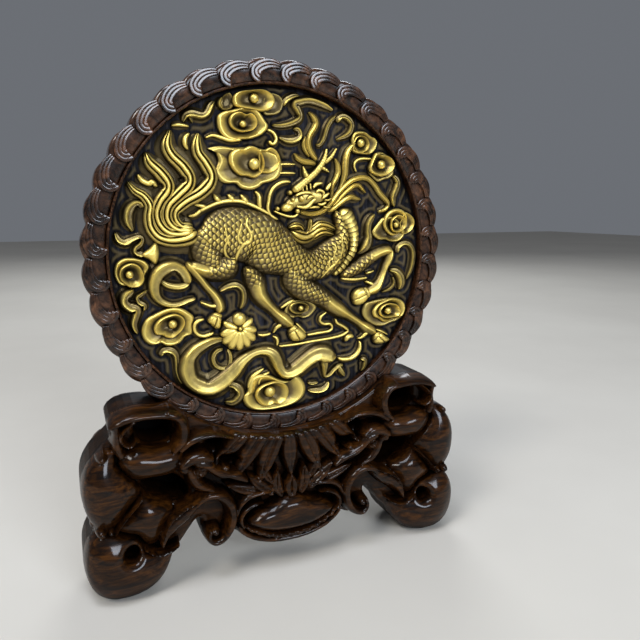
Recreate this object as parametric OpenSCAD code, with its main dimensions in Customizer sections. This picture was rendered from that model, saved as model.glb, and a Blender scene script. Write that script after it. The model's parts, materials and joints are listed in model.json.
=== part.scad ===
// Chinese table screen: a round carved panel that lifts out of a pierced openwork stand.
// Millimetres. The front faces -Y, +X is to the right, +Z is up and the table is at z = 0.

/* [Panel] */
// Diameter of the round panel over the wave tips
panel_d = 220; // [180:1:260]
// Thickness of the panel at its rim
panel_t = 20; // [17:0.5:26]
// Width of the wave border, from the bead to the tips
border_w = 13.5; // [12:0.5:15]
// Depth of the field below the rim
field_sink = 6; // [4.5:0.5:7]
// Height of the tallest carving above the field
relief_h = 6.5; // [4:0.5:8]
// Number of waves round the border
wave_count = 36; // [30:1:40]

/* [Stand] */
// Thickness of the front and back boards
board_t = 10; // [8:0.5:14]
// Height of the tallest carving on the front board
carve_h = 9; // [6:0.5:11]
// Width of rim that the lip of the boards covers
lip_cover = 4.5; // [3:0.5:6]
// Diameter of the dowels that pin the stand together
dowel_d = 5; // [4:0.5:6]

/* [Fits] */
// Gap at each face of the panel in the slot
slot_gap = 0.4; // [0.3:0.1:1]
// Gap under the rim in the seat
seat_gap = 0.3; // [0.2:0.1:0.8]
// Gap between neighbouring carvings
carve_gap = 0.3; // [0.2:0.05:0.5]
// Gap round dowels and tenons
joint_gap = 0.1; // [0.05:0.05:0.2]

/* [Hidden] */
// Everything on the stand is drawn for a 220 mm panel, and the carving for a 95.5 mm field
k = panel_d / 220;
rim_r = panel_d / 2;
bead_r = rim_r - border_w;
bead_w = 1.6;
field_r = bead_r - bead_w / 2 - 0.2;
field_k = field_r / 95.5;
border_r = bead_r + bead_w / 2;
rebate_r = border_r + 4;
panel_z = 189.7 * k;
rim_y = -panel_t / 2;
field_y = rim_y + field_sink;
rebate_y = (field_y + panel_t / 2) / 2;
wave_base_y = rim_y + 2.6;
slot_y = panel_t / 2 + slot_gap;
front_y = slot_y + board_t;
lip_r = rim_r - lip_cover;
seat_r = rim_r + seat_gap;
depth_shift = carve_h / 2;
dowel_reach = 6;
dowel_spots = [[106, 16], [107, 66], [63.5, 78], [22, 67]];
tenon = [10, 10, 8];
// Length of each tenon inside the rail
tenon_root = 4;
tenon_z = 44;
rail_half = 48;
turn = 360 / wave_count;
wood = [0.24, 0.11, 0.06];
dark = [0.11, 0.09, 0.10];
gilt = [0.80, 0.62, 0.18];

// Cross-sections of a strand: offset by width, rise by height, and bow along the strand
THIN = [[-0.5, 0, 0], [0, 1, 0], [0.5, 0, 0]];
BROAD = [[-0.5, 0, -1], [-0.34, 0.78, 1], [0, 1, -1], [0.34, 0.78, 1], [0.5, 0, -1]];
// Widest strand that gets the thin section
thin_w = 4.8;
// Bow of the broad sections, which makes neighbouring links overlap
bow = 0.08;

// One wave of the border: degrees past its start, radius on a 110 mm rim, width
WAVE = [[3.6, 98.6, 4.6], [3.0, 100.4, 5.6], [2.9, 102.8, 6], [4.4, 105.2, 5.6], [6.8, 106.3, 5],
        [9.2, 105.6, 4], [11, 104.4, 2.6]];
// Scalloped edge of one wave: share of a turn, radius on a 110 mm rim
SCALLOP = [[0, 107], [0.17, 108.8], [0.38, 109.8], [0.6, 110], [0.82, 108.8]];

// The four strands of the flame tail, each point as across, up, width
TAIL = [
    [[-48, 15, 7], [-54, 11.5, 6], [-62, 10.2, 5], [-69, 12, 4.5], [-73, 17, 4.2],
     [-73.8, 23, 4], [-73, 29, 3.8], [-76, 34, 3.4], [-80.5, 37, 2.8], [-84, 41.5, 1.2]],
    [[-50, 15.5, 6], [-57, 13.5, 5], [-64, 14.5, 4.5], [-68.5, 19, 4.2], [-69.8, 25, 4.2],
     [-67.5, 31, 4.5], [-63.8, 36, 4.8], [-63.2, 41, 4.8], [-67, 46.5, 4.8], [-72, 51.5, 4],
     [-74, 57, 1.2]],
    [[-50, 16, 5], [-57, 15.5, 4.5], [-62, 18, 4.2], [-64.5, 23, 4.2], [-63, 29, 4.4],
     [-57.5, 34.5, 4.8], [-52.5, 39.5, 5], [-51.6, 44.5, 5], [-55, 50, 5], [-60.5, 55.5, 4.6],
     [-62.6, 61, 4], [-60.5, 69, 1.2]],
    [[-50, 17, 4], [-56, 17.5, 4], [-59.5, 21, 4], [-59.5, 26, 4.2], [-54, 31, 4.6],
     [-46, 35.5, 5], [-40.8, 40.5, 5.2], [-39.6, 46, 5], [-42.5, 52, 4.8], [-46, 57, 4.4],
     [-46.6, 62, 3.6], [-45.4, 68, 1.2]]];

// Loose flame tips beside the tail
FLAME_TIPS = [
    [[-51, 58.5, 1.2], [-52.8, 61.5, 2.6], [-52.5, 65, 2.4], [-50, 67.8, 1]],
    [[-78.6, 45.5, 1.2], [-76.5, 42.3, 2.8], [-73.2, 40.6, 2.8], [-70.8, 41, 3.2], [-68.3, 38.4, 1.4]],
    [[-60, 71, 1], [-56, 71.6, 2], [-50, 71, 1]]];

// Skull, snout, jaw, brow and ear
HEAD = [
    [[4, 29, 4], [9, 30.5, 8], [14, 32.5, 10], [20, 34, 11.5], [26, 33.8, 10], [30, 33, 5]],
    [[-3, 27, 3], [1, 28, 5.5], [6, 28.6, 6.5], [11, 30, 6]],
    [[-3, 24.9, 1.5], [3, 23.6, 2.4], [9, 23.9, 2.8], [12, 26.4, 2.6]],
    [[13, 36.2, 2.4], [18, 38.6, 3.4], [23, 39, 3.2], [27, 41.6, 1.6]]];

// Antler beam with its branch and prongs
ANTLERS = [
    [[9, 38, 5], [13, 40.2, 5.4], [17, 43, 4.8], [21, 46, 4.2], [25, 49.7, 4], [28, 53.5, 3.8],
     [30, 57.5, 3.4], [31, 62.5, 1.6]],
    [[27.5, 52.5, 3.5], [31.5, 54.8, 3.4], [35, 58, 3.2], [37.8, 63, 1.6]],
    [[19.5, 45, 3.6], [17, 47.5, 3], [15.6, 52, 1]],
    [[28.5, 51.5, 2.6], [31.2, 49.8, 2], [32.6, 47.5, 1]]];

// Mane: jaw ribbon, two lower locks and the upright locks behind the antlers
MANE = [
    [[13, 25.8, 2.4], [16, 24.8, 2.6], [20.5, 24.2, 2.8], [25.5, 25, 2.8], [30, 27.5, 3],
     [34, 31.5, 3], [38.5, 37, 3], [43, 41.3, 3], [48, 44.5, 3], [53, 45.8, 3], [57.5, 45.5, 3],
     [61, 43.3, 3], [64, 40, 3], [66.3, 36.8, 3], [69.3, 34, 3], [72, 31.5, 2.8],
     [72.5, 28.8, 2.4], [70, 26.6, 2.2], [66, 25.3, 1.6]],
    [[57.5, 36.5, 1], [54.5, 39, 2], [52, 41.2, 2.4], [48.5, 41, 2.6], [45, 38.8, 2.6],
     [41, 35.3, 2.6], [37.5, 31.3, 2.4], [34, 28.5, 2.2]],
    [[54, 32.8, 1], [50, 33.4, 2.4], [46.5, 34.3, 3], [42.5, 32.8, 3], [38.5, 29.9, 2.8],
     [34.5, 27, 2.6], [31, 25.8, 2]],
    [[36, 57, 1.2], [37.7, 53, 3], [38, 49, 3.4], [36.5, 45, 3.2], [34.5, 41, 2.6], [34, 36, 2.2],
     [33.2, 31.5, 2]],
    [[50.2, 66.6, 1.4], [47, 64.2, 2.6], [44.3, 61, 3.4], [43, 57, 3.8], [42.5, 52.5, 4],
     [42.3, 48, 3.8], [41.4, 44, 3.2], [40, 40.5, 2.4], [38.2, 36.8, 2]]];

// Forehead tufts that sweep up and left of the antlers
FORELOCK = [
    [[19.3, 82.5, 1], [22.5, 79, 3], [23.3, 76, 3.4], [22, 73, 3.2], [20, 70, 3], [18.8, 66, 3],
     [19.3, 62, 3.2], [21.7, 58, 3], [24.8, 55, 2]],
    [[17.5, 69, 1], [16, 65, 2.4], [17, 61, 2.6], [20, 57, 1.8]],
    [[10, 59, 1], [12.5, 56, 2.8], [16, 54.4, 3.2], [20.4, 53.9, 3], [24, 53.1, 2]]];

// Long feeler that loops down in front of the snout
FEELER = [
    [[8.2, 42.6, 1.4], [4.5, 42.8, 2], [0.5, 41.6, 2.2], [-3, 39, 2.2], [-5, 35.5, 2.2],
     [-6, 31, 2.2], [-6.5, 27.5, 2.2], [-5.2, 24, 2], [-2.6, 22, 2], [0, 21, 1.2]]];

// Chin beard that streams back towards the neck
BEARD = [
    [[8, 14, 2.5], [12, 11.6, 5], [17, 10.8, 6], [22, 12, 5.5], [26, 14.2, 4.5], [30, 15.6, 4],
     [33.5, 15.4, 3.4], [36.5, 14.4, 2]],
    [[6, 16, 1.2], [10, 17.2, 3], [13.5, 16.5, 2.2], [16, 13.5, 2]],
    [[20.3, 21.6, 1.4], [20.2, 19, 1.8], [19.8, 15.5, 1.8], [18, 12, 2]]];

// Body from rump to neck, drawn along its spine
TORSO = [
    [[-48.5, 14.5, 8], [-45, 13.5, 18], [-38, 13.5, 26], [-30, 13.5, 31], [-22, 12.5, 32],
     [-14, 10.5, 32], [-6, 5, 33], [1, 1.5, 29], [8, -2.5, 23], [15, -6, 20], [22, -6.5, 20],
     [29, -4, 21], [35, 1.5, 19], [39.5, 8, 13], [41.5, 13, 6]]];

// Flame curls that ride on the hip and on the shoulder
BODY_FLAMES = [
    [[-27, -6, 1.6], [-26.5, -1, 2.6], [-25.2, 3.5, 2.6], [-22.5, 7.2, 2.6], [-19.5, 8.5, 2.6],
     [-18, 11.5, 2.4], [-19, 15, 2.4], [-20.7, 18.5, 2.2], [-19.5, 22.5, 1]],
    [[-22.5, 7.2, 2.4], [-25, 9, 2.2], [-25.7, 12, 2.2], [-24.7, 15, 2], [-23.5, 19.5, 1]],
    [[-26.5, -1, 2.4], [-30, -1, 2.2], [-32.7, 1.5, 2.2], [-33.5, 6, 2], [-31.7, 9.5, 2],
     [-32.7, 13.5, 1.8], [-33, 17, 1]],
    [[40, 13.2, 1], [38.9, 9, 2], [39.4, 3, 2.2], [38, -1.6, 2.2], [35, -5.6, 2.4], [31, -8.8, 2.4],
     [28, -12, 2], [26, -14.6, 1]],
    [[33.3, 7, 1], [35, 3.5, 2], [33.8, -0.5, 2], [36, -4, 2]],
    [[31.5, -2.5, 1], [30.2, -5.5, 1.8], [31, -8.5, 2]]];

// Band of belly plates that climbs the neck
NECK_PLATES = [
    [[38.6, 25, 8], [42, 22.2, 8.6], [44.4, 18.6, 8.6], [46.2, 14.4, 8.2], [47.3, 10.2, 7.6],
     [47.7, 6, 7], [47, 1.8, 6.4], [45, -2.2, 5.8], [42, -6, 5.2], [38.6, -9.4, 4.4], [34.6, -12.4, 3]]];

// Spiked crest along the back, with the fin on the rump
BACK_CREST = [
    [[-46.5, 25.8, 2], [-42, 28, 2.2], [-36, 30.4, 2.2], [-29, 31.6, 2.2], [-22, 31.2, 2.2],
     [-15, 28.8, 2.2], [-8, 25.4, 2], [-3, 22.6, 1.2]],
    [[-38.5, 35.7, 1], [-36.5, 33, 2.6], [-34, 30.8, 2]],
    [[-30, 35.4, 1], [-28, 33, 2.8], [-26, 31.4, 2]],
    [[-22.5, 35.4, 1], [-20.4, 32.4, 2.8], [-18, 30, 2]],
    [[-14, 37.4, 1], [-11.8, 34.5, 2.4], [-11.6, 30.5, 2.6], [-11, 26.8, 2]],
    [[-49.5, 29.6, 1], [-45.6, 29, 2.2], [-42, 28, 2]],
    [[-45.2, 27.2, 2], [-47, 25.2, 2.2], [-49.6, 23.6, 2], [-53, 23.2, 1]]];

// Left hind leg: thigh, shank, dewclaw and hoof
LEFT_HIND_LEG = [
    [[-29.5, -4, 13], [-36, -6.8, 12], [-43, -6.6, 9], [-49.5, -5.2, 7.5], [-54.5, -4, 5]],
    [[-54.3, -4, 5], [-51, -7.2, 5.4], [-47.7, -11.5, 5], [-44, -15.5, 4.5], [-40.5, -20.1, 4.5],
     [-38.2, -24.5, 4.6], [-37, -28.5, 5.5], [-38.8, -33, 5.5], [-39.4, -36.5, 7], [-38.8, -40, 4.6]],
    [[-38.5, -27.5, 2.5], [-43, -27.4, 2.2], [-48, -24.8, 1.2]]];

// Right hind leg
RIGHT_HIND_LEG = [
    [[-20.3, -8.2, 4], [-17.8, -11, 8], [-14.5, -15.5, 11], [-14, -20, 9.5], [-11, -25, 7.5],
     [-6.5, -30, 5.8], [-1.5, -35.5, 5], [2.5, -39, 6], [5.5, -42.5, 6.4], [9.5, -46.6, 6.6],
     [11.8, -49.4, 7.6], [12.8, -51.4, 5]],
    [[2, -41.8, 2.8], [-1.6, -43.6, 2.5], [-4.4, -46.6, 1.2]]];

// Raised foreleg
RAISED_FORELEG = [
    [[42, -12.6, 3], [46.4, -11.2, 4.6], [51, -9.4, 5.4], [56.5, -6, 5.8], [61.5, -2.8, 5.6],
     [66.5, -1, 5.2], [71.2, 0.1, 5.2], [75.3, -1.7, 4.4]],
    [[74.5, 1.1, 4.2], [73.1, -5.1, 4.8], [71.1, -10.5, 4.4], [68.8, -15.5, 4.2], [66.5, -20, 4.6],
     [63.6, -24.2, 5.6], [58.5, -26, 6.4], [53.5, -27.5, 8], [50, -28.6, 5.5]],
    [[64, -22.6, 3], [60.8, -20, 2.4], [57.3, -18.5, 1]]];

// Stretched foreleg
STRETCHED_FORELEG = [
    [[8, -11, 8], [11, -16.5, 11], [16, -21.5, 12], [23, -24.5, 10.5], [30, -27.5, 8.5],
     [36, -32, 7.2], [40.5, -35.8, 6], [46, -40, 4.8], [52, -44, 4.6], [57.5, -47.4, 5.4],
     [61.5, -50, 6.6], [66.5, -54, 6], [70, -55.8, 6], [74, -57.2, 3]],
    [[59.5, -51, 3], [56, -53.2, 2.4], [52.8, -54.6, 1.2]]];

// Lobes of the ribboned ball
BALL = [
    [[-26.5, -41.5, 3], [-31.5, -44.8, 8], [-36.2, -46, 5]],
    [[-26.5, -42, 3], [-28.5, -47.5, 7], [-29.6, -52, 4]],
    [[-25, -42, 2.5], [-22, -47.2, 4.6], [-18.5, -50.2, 4.6], [-15.6, -49.2, 2.4]],
    [[-25, -41.5, 2.5], [-20.5, -43.4, 5], [-16.6, -44.8, 4]],
    [[-25, -41.5, 2], [-21, -40.4, 3], [-17.3, -38.3, 2]],
    [[-25, -41, 2], [-21.3, -39, 3], [-20.3, -35.6, 1.6]],
    [[-27, -41, 2], [-31.5, -38.5, 4], [-32, -35, 2]],
    [[-26, -43, 2], [-24.2, -49, 4], [-21.2, -53.2, 1.6]],
    [[-26.4, -34, 4], [-26.2, -37, 7], [-26, -40, 4.5]]];

// Clouds: boss, outline of the pad, rolled rims
TOP_CLOUD = [[-13.5, 87.6, 2.6],
    [[-26, 86], [-24, 90], [-18, 92], [-10, 92.4], [-4, 91], [-1.6, 87], [-3, 83], [-8, 81], [-16, 81.6],
    [-23, 82.6]],
    [[[-9, 81, 2], [-5, 82.4, 2.6], [-2.6, 85.5, 2.8], [-2.5, 88.8, 2.6], [-5.5, 91.4, 2.4],
    [-10, 92, 1.6]],
     [[-20.5, 91, 1.6], [-24, 89.3, 2.4], [-25.6, 86.3, 2.6], [-24.5, 83, 2]]]];
SCROLL_CLOUD = [[-20.4, 73.8, 2],
    [[-34.5, 77], [-31, 79.4], [-26, 80.6], [-21, 82.4], [-15, 82.8], [-10.5, 80.4], [-7, 76], [-6.4, 72.6],
     [-9.5, 69], [-16, 66.2], [-23, 65.8], [-30, 66.6], [-34.6, 70.6]],
    [[[-15.3, 79.2, 1.8], [-13, 76, 2], [-13.6, 72.6, 2], [-17, 70.4, 2], [-22.5, 70, 2], [-27, 72, 2],
      [-28.2, 75.3, 2], [-25.8, 78.4, 2], [-21.5, 79.6, 1.4]],
     [[-23, 65.7, 2], [-16.7, 66.1, 2], [-12, 67.5, 2.2], [-8.5, 70, 2.2], [-6.2, 73, 2.6], [-7.2, 76, 2.6],
      [-9.9, 79.6, 2.4], [-12.7, 81.7, 2.4], [-17, 82.7, 2.4], [-22.2, 82, 2.2], [-26.3, 80.4, 2.2],
      [-31.3, 78.9, 2.4], [-34.3, 77.2, 2.6], [-35, 74, 2.6], [-33.6, 70.9, 2.6], [-29.5, 68.6, 2.2],
      [-24, 68.4, 1.4]],
     [[-23, 65.7, 2], [-28, 65.2, 2.2], [-33, 66.2, 2.2], [-37.5, 66.9, 2], [-41.8, 65.4, 1]],
     [[-6.4, 71.6, 1.8], [-2.7, 70, 2], [-0.9, 67, 2.2], [-1.6, 64.6, 2.4], [-3.6, 63.8, 2.4],
     [-5.2, 65.2, 2]]]];
LARGE_CLOUD = [[-13.5, 52.3, 3.3],
    [[-35.8, 57.5], [-31, 60], [-24, 60.6], [-15, 62], [-9, 60.4], [-3.4, 61], [0.3, 55], [-1, 49.6],
    [-2.6, 44],
     [-9, 42], [-16.7, 38.8], [-25, 41.6], [-33.6, 43.4], [-36.6, 47], [-34.6, 53]],
    [[[-9.3, 56.5, 1], [-10.2, 59.3, 2], [-13, 61.4, 2.4], [-16.7, 61.4, 2.4], [-20.8, 60, 2.4],
    [-25.4, 59.2, 2.6],
      [-28.2, 56.4, 2.8], [-28.8, 52.7, 2.8], [-27.4, 49, 2.6], [-24.5, 46.7, 2.4], [-19.9, 45.5, 2.2],
      [-14.9, 44.8, 2.2], [-11.3, 45.8, 2.2], [-8.6, 47.4, 2]],
     [[-7.5, 60.4, 1.4], [-3.6, 60.6, 2.6], [-0.7, 58.4, 2.8], [0.2, 55, 2.8], [-0.6, 51, 2.6],
     [-2.8, 48.4, 2.4],
      [-8.6, 47.4, 2]],
     [[-36.8, 46.4, 1.4], [-34, 43.2, 2], [-30.4, 41.8, 2.4], [-25.4, 41.6, 2.6], [-22.6, 40.8, 2.6],
     [-20, 39.2, 2.6],
      [-16.7, 38.8, 2.6], [-12.5, 39.8, 2.6], [-9, 41.6, 2.2], [-5.8, 42.2, 1.8], [-2.2, 43.5, 1.2]],
     [[-40, 59.6, 1.2], [-36.2, 58, 2.6], [-34.6, 55, 2.8], [-35.4, 51, 2.4], [-36.8, 48, 1.4]],
     [[-0.6, 52.3, 1.2], [6, 52.6, 1.4], [11.2, 52.7, 1]],
     [[-1.8, 47.4, 1.2], [6, 47.6, 1.4], [11.2, 47.5, 1]]]];
MANE_CLOUD = [[53.4, 66.2, 2.4],
    [[46, 61.2], [52, 60], [58, 60.6], [62.4, 64], [62.8, 68.4], [58, 71.4], [52, 72.4], [48.4, 69.6]],
    [[[47, 60.9, 1.6], [50.2, 60.4, 2], [54, 60.6, 2], [57.2, 62.4, 2], [58, 65.5, 1.6], [57, 68.4, 1]],
     [[58.5, 60.4, 1.6], [61.3, 62.3, 2], [62.9, 65, 2.4], [62.9, 67.8, 2.6], [60.8, 69.6, 2.6],
     [58, 71.2, 1.8],
      [54.3, 72.3, 1.6], [50.5, 72.3, 1]]]];
UPPER_RIGHT_CLOUD = [[67, 54.1, 2.8],
    [[59.4, 52], [60.6, 49.6], [64, 48.4], [66, 45], [70, 45.6], [75, 47.6], [75.2, 54], [73.6, 56.6],
    [70.5, 58.4],
     [66.6, 60.4], [63.8, 60], [61.2, 57.6]],
    [[[66.5, 58, 1.4], [70.6, 58.3, 2.2], [73.4, 56.9, 2.6], [75.1, 53.9, 2.6], [73.9, 50.9, 2.6],
    [71.1, 48.8, 2.4],
      [67.6, 47.9, 2.2], [63.8, 48.4, 2.4], [60.3, 49.6, 2.6], [59, 51.9, 2.6], [60.1, 54.8, 2.2],
      [61.2, 57.8, 1.8],
      [63.8, 60.2, 1.6], [66.8, 60.6, 1]],
     [[61.6, 46.6, 1], [65.2, 44.2, 1.8], [69.3, 45.5, 1.8], [73, 46.5, 1.8], [75.6, 47.8, 1.4]],
     [[61, 57.2, 1.4], [54.7, 57.2, 1.8], [51, 56.3, 1.8], [48.9, 53.6, 1.8], [49.6, 50.8, 1.6],
     [50.8, 49, 1]]]];
RIGHT_CLOUD = [[78.4, 17.2, 2],
    [[62.4, 12.8], [65, 9], [70, 8.6], [76, 7.2], [82, 8.4], [86, 11.6], [90.2, 15], [91.4, 18],
    [90, 22], [85, 24],
     [78.4, 26.4], [72.4, 23.6], [69.6, 18], [65.4, 16.4]],
    [[[74.9, 20, 1.4], [77.3, 22, 2], [81, 22.6, 2], [84.1, 21.2, 2], [85.3, 18.1, 2], [84.2, 15.3, 2],
    [81, 12.9, 2],
      [76.6, 11.6, 2.2], [73, 12.9, 2.4], [70.9, 15.8, 2.4], [70.1, 19, 2.4], [71.4, 22.6, 2.2],
      [74.4, 25.2, 2.2],
      [78.4, 26.4, 2.2], [82, 26, 2], [84.8, 24.3, 1.4]],
     [[85, 23.6, 1.4], [88.6, 23, 2.4], [90.8, 20.9, 2.6], [91.3, 17.6, 2.6], [89.7, 14.6, 2.4],
     [86.5, 12, 1.8],
      [84, 11, 1.2]],
     [[62, 13.3, 1.2], [63.6, 10.7, 2.4], [66.6, 8.9, 2.4], [70.2, 8.8, 2], [74.3, 7.5, 2], [79.3, 7.4, 2],
      [82.4, 8.7, 1.8], [84.2, 11, 1.2]]]];
LOWER_RIGHT_CLOUD = [[73.8, -37.9, 2.6],
    [[59.6, -35], [66, -33.6], [71, -31.4], [76, -30], [82, -31.4], [86, -35], [86, -39], [83.4, -43.4],
    [77, -45.4],
     [71, -47], [64.4, -46], [60.8, -43], [58.4, -39]],
    [[[78.5, -34.6, 1.4], [81.2, -36, 2.2], [82.2, -38.8, 2.4], [80.8, -41.2, 2.2], [76.6, -42.6, 2.2],
      [73.4, -44.4, 2.2], [70.2, -44, 2.2], [68.2, -42.4, 2.2], [65.5, -41, 2.4], [64.2, -37.4, 2.6],
      [67.4, -33.8, 2.4],
      [71.2, -31.8, 2], [75.6, -30.4, 2], [80.3, -31, 2], [84.8, -33.6, 2.2], [86.2, -37.3, 2.2],
      [84.2, -42.3, 1.4]],
     [[60, -33.6, 1.4], [58, -37, 3], [58.4, -41, 1.4]],
     [[60.4, -43.2, 1], [64, -46.3, 1.8], [71.5, -47, 2], [77, -45.3, 1.8], [83, -43.8, 1.4]]]];
SMALL_CLOUD = [[13.3, -32.4, 1.7],
    [[3.8, -34.6], [7.6, -37.6], [12, -37.4], [15.5, -38.4], [19, -37.4], [23, -33.6], [21.6, -31.4],
    [16, -29.6],
     [10, -28.4], [6, -30]],
    [[[1.4, -31.4, 1.4], [4.6, -29.4, 2], [7.6, -27.8, 1.8], [9.6, -27.4, 1]],
     [[10, -28.9, 1], [7.2, -29.8, 1.6], [6.5, -32, 1.8], [7.9, -34, 1.8], [11.5, -35.4, 1.8],
     [16, -34.3, 1.6],
      [18, -32, 1]],
     [[3.7, -35.2, 1.2], [7.8, -37.6, 1.8], [11.9, -37.4, 1.8], [15.5, -38.4, 1.8], [18.8, -37.4, 1.8],
      [22, -35.2, 1.6], [23.5, -32.7, 1]]]];
LEFT_CLOUD = [[-85.5, -7.8, 2],
    [[-91.8, -9], [-92.2, -5], [-90.6, -1.6], [-86, 0.4], [-80, -0.4], [-77.4, -2.4], [-78.8, -7.8],
    [-78.8, -11.4],
     [-81, -13.8], [-84.5, -13.9], [-90, -12]],
    [[[-88.2, -4.8, 1.2], [-86.8, -3.2, 1.8], [-84.3, -2.4, 2], [-80.9, -4.2, 2], [-78.8, -7.8, 2],
    [-78.9, -11.3, 2],
      [-81.1, -13.7, 2], [-84.5, -13.8, 2], [-87, -12.7, 1.8], [-90.1, -12.1, 2], [-91.9, -9.1, 2.2],
      [-92.3, -5.1, 2.2],
      [-90.9, -1.8, 2.2], [-88, 0.2, 2.2], [-84.1, 0.5, 2], [-79.6, -0.3, 2], [-76.8, -1.7, 2],
      [-75, -3.7, 1]]]];
LOWER_LEFT_CLOUD = [[-63.6, -36.8, 2.6],
    [[-54, -31.6], [-58, -29], [-63, -28.2], [-70, -30], [-77, -33.4], [-79.2, -38], [-78, -44],
    [-74, -46.2],
     [-68.5, -47.4], [-62, -47.6], [-57.4, -43.6], [-54.6, -38]],
    [[[-59.8, -32.3, 1.4], [-58.1, -35.5, 2], [-58.6, -38.4, 2], [-60.3, -40.3, 2], [-61.6, -42.2, 2],
      [-64.2, -43.5, 2.2], [-66.8, -43, 2.2], [-68.6, -41.7, 2.2], [-71, -41.7, 2.4], [-73, -39.8, 2.8],
      [-72.8, -36.8, 2.8], [-70.6, -34.2, 2.4], [-66.5, -32.2, 1.6]],
     [[-51.6, -33.2, 1], [-54, -31.3, 2], [-58, -29, 2.2], [-62.5, -28.2, 2.2], [-67, -29, 2],
     [-72, -30.8, 2],
      [-76.7, -33.2, 2.4], [-79, -36.5, 2.8], [-79.4, -41, 3], [-77.7, -44.5, 3], [-75, -46.2, 2.6],
      [-71.5, -46, 2],
      [-68.5, -47.4, 2], [-64.5, -48.1, 2.2], [-60.7, -46.9, 2.2], [-57.2, -43.6, 2], [-53.7, -42.8, 1]]]];
BOTTOM_CLOUD = [[-7.2, -82.9, 3.4],
    [[-19.6, -78], [-18.6, -73.4], [-13, -70], [-8, -72.4], [-1.6, -76.4], [4, -77.4], [10.6, -76.6],
    [14, -80],
     [15, -84.5], [13, -89.6], [7, -92.6], [-3, -93.6], [-13, -93.4], [-19.6, -91], [-22.4, -86]],
    [[[-9.8, -78.2, 1.4], [-5, -77.3, 2], [-0.5, -78.2, 2], [2.5, -80.7, 2.2], [3.6, -84.3, 2.4],
    [2.5, -87.6, 2.4],
      [-0.5, -90.1, 2.4], [-3.5, -90.3, 2], [-5.4, -89.6, 1.8], [-9.5, -90.6, 2.2], [-13, -89.3, 2.2],
      [-15.4, -86.4, 2.2], [-15.5, -82.9, 2], [-14, -79.7, 1.8], [-13.6, -77, 2], [-12.2, -73.9, 2.2],
      [-7.6, -71.4, 1.2]],
     [[-20.4, -80, 1.6], [-20.1, -76.5, 2.4], [-18.3, -72.9, 2.8], [-14.9, -70.4, 2.6],
     [-10.2, -67.9, 1.2]],
     [[-20.6, -81.5, 1.4], [-22.5, -84.3, 2.4], [-22.2, -87.7, 2.6], [-20.4, -90.6, 2.4], [-17, -92.6, 2.2],
      [-11, -93.4, 1.8], [-2, -93.7, 1.8], [6.5, -92.9, 2], [10.6, -91, 3], [13.4, -88.4, 3.4],
      [14.8, -84.3, 3.4],
      [13.8, -79.5, 3], [11, -75.8, 1.4]]]];

// Ribbons
LEFT_RIBBON = [
    [[-54.4, -14.4, 3], [-55.2, -11, 4], [-57.8, -6.8, 4.4], [-61.5, -4.8, 5], [-65.5, -4.6, 5.2],
    [-69.3, -6.5, 5],
     [-71.8, -10, 4.4], [-72.6, -14.5, 4.2], [-71.7, -19, 3.8], [-69, -22.6, 3.2], [-65, -24.7, 2.8],
     [-61, -24.8, 2.6],
     [-57, -23.2, 2.8], [-52, -21.3, 3], [-47, -20.8, 1.6]],
    [[-69.6, -11.5, 1.4], [-66, -15.3, 2], [-61.5, -17.4, 2.2], [-57.4, -17.2, 2.4], [-54.4, -14.8, 2.2]]];
MIDDLE_RIBBON = [
    [[-36.4, -19.4, 1.6], [-31, -16.8, 2.6], [-26.5, -16.3, 2.8], [-23.2, -18.5, 2.8], [-21.9, -22, 2.8],
     [-22.3, -26.5, 2.6], [-24.2, -31, 1.4]]];
BOTTOM_RIBBON = [
    [[-38.6, -48.8, 1.4], [-44, -48.4, 3], [-48.6, -50.4, 4], [-52.7, -53.6, 5], [-55.7, -58, 5.5],
    [-57, -62.5, 6],
     [-56.5, -67, 6.4], [-54, -71.5, 6.6], [-50, -75, 6.4], [-45, -76.4, 6], [-40, -75, 6.2],
     [-35.5, -71.5, 6.6],
     [-31, -67, 6.4], [-27.3, -63, 5.6], [-23.5, -60.2, 4.8], [-19, -58.2, 4.2], [-14.5, -57.3, 4],
     [-9.5, -57.4, 4.4],
     [-5.8, -59.2, 5], [-3.2, -62.5, 5], [-1.6, -66.2, 4.8], [0, -70, 4.6], [3, -72.4, 4.8], [7, -72, 5.4],
     [11, -69.6, 6], [15.5, -66.8, 6.4], [20, -64.7, 7], [25, -64.3, 8], [29.5, -65, 7.6], [33.5, -65.2, 5],
     [37.4, -65.2, 1.2]],
    [[28.5, -66, 5], [29.3, -70, 4], [29.4, -74, 2.6], [30, -77.4, 1.6], [33, -76.6, 2], [36, -73.6, 2.2],
     [39.5, -71.4, 2.2], [43, -71.4, 1]],
    [[39, -71.6, 2], [41.3, -75.8, 2.8], [44.2, -79, 1]],
    [[-35, -53.8, 1.4], [-38.5, -54.4, 2], [-40.9, -57, 2.2], [-41.3, -60.5, 2.2], [-39.5, -63.8, 2.2],
     [-36, -65.4, 2.2], [-32.4, -64.6, 2.2], [-31, -61, 2], [-31.2, -57, 1.8], [-32.5, -54, 1]]];
RIGHT_RIBBON = [
    [[64.2, 23.8, 1.2], [61.3, 21.3, 3], [59.3, 17.5, 3.4], [58.8, 13, 3.6], [59.2, 9.3, 4.2],
    [57.8, 5.2, 5],
     [55.2, 2, 4], [52, -0.6, 1.2]]];
SIDE_RIBBON = [
    [[75.8, 47.8, 2], [78.6, 45, 3.2], [79, 42, 3.8], [77.8, 38.5, 3.8], [76.3, 35, 3.6], [76.5, 31, 3],
     [78, 28.3, 1.6]]];

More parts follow.
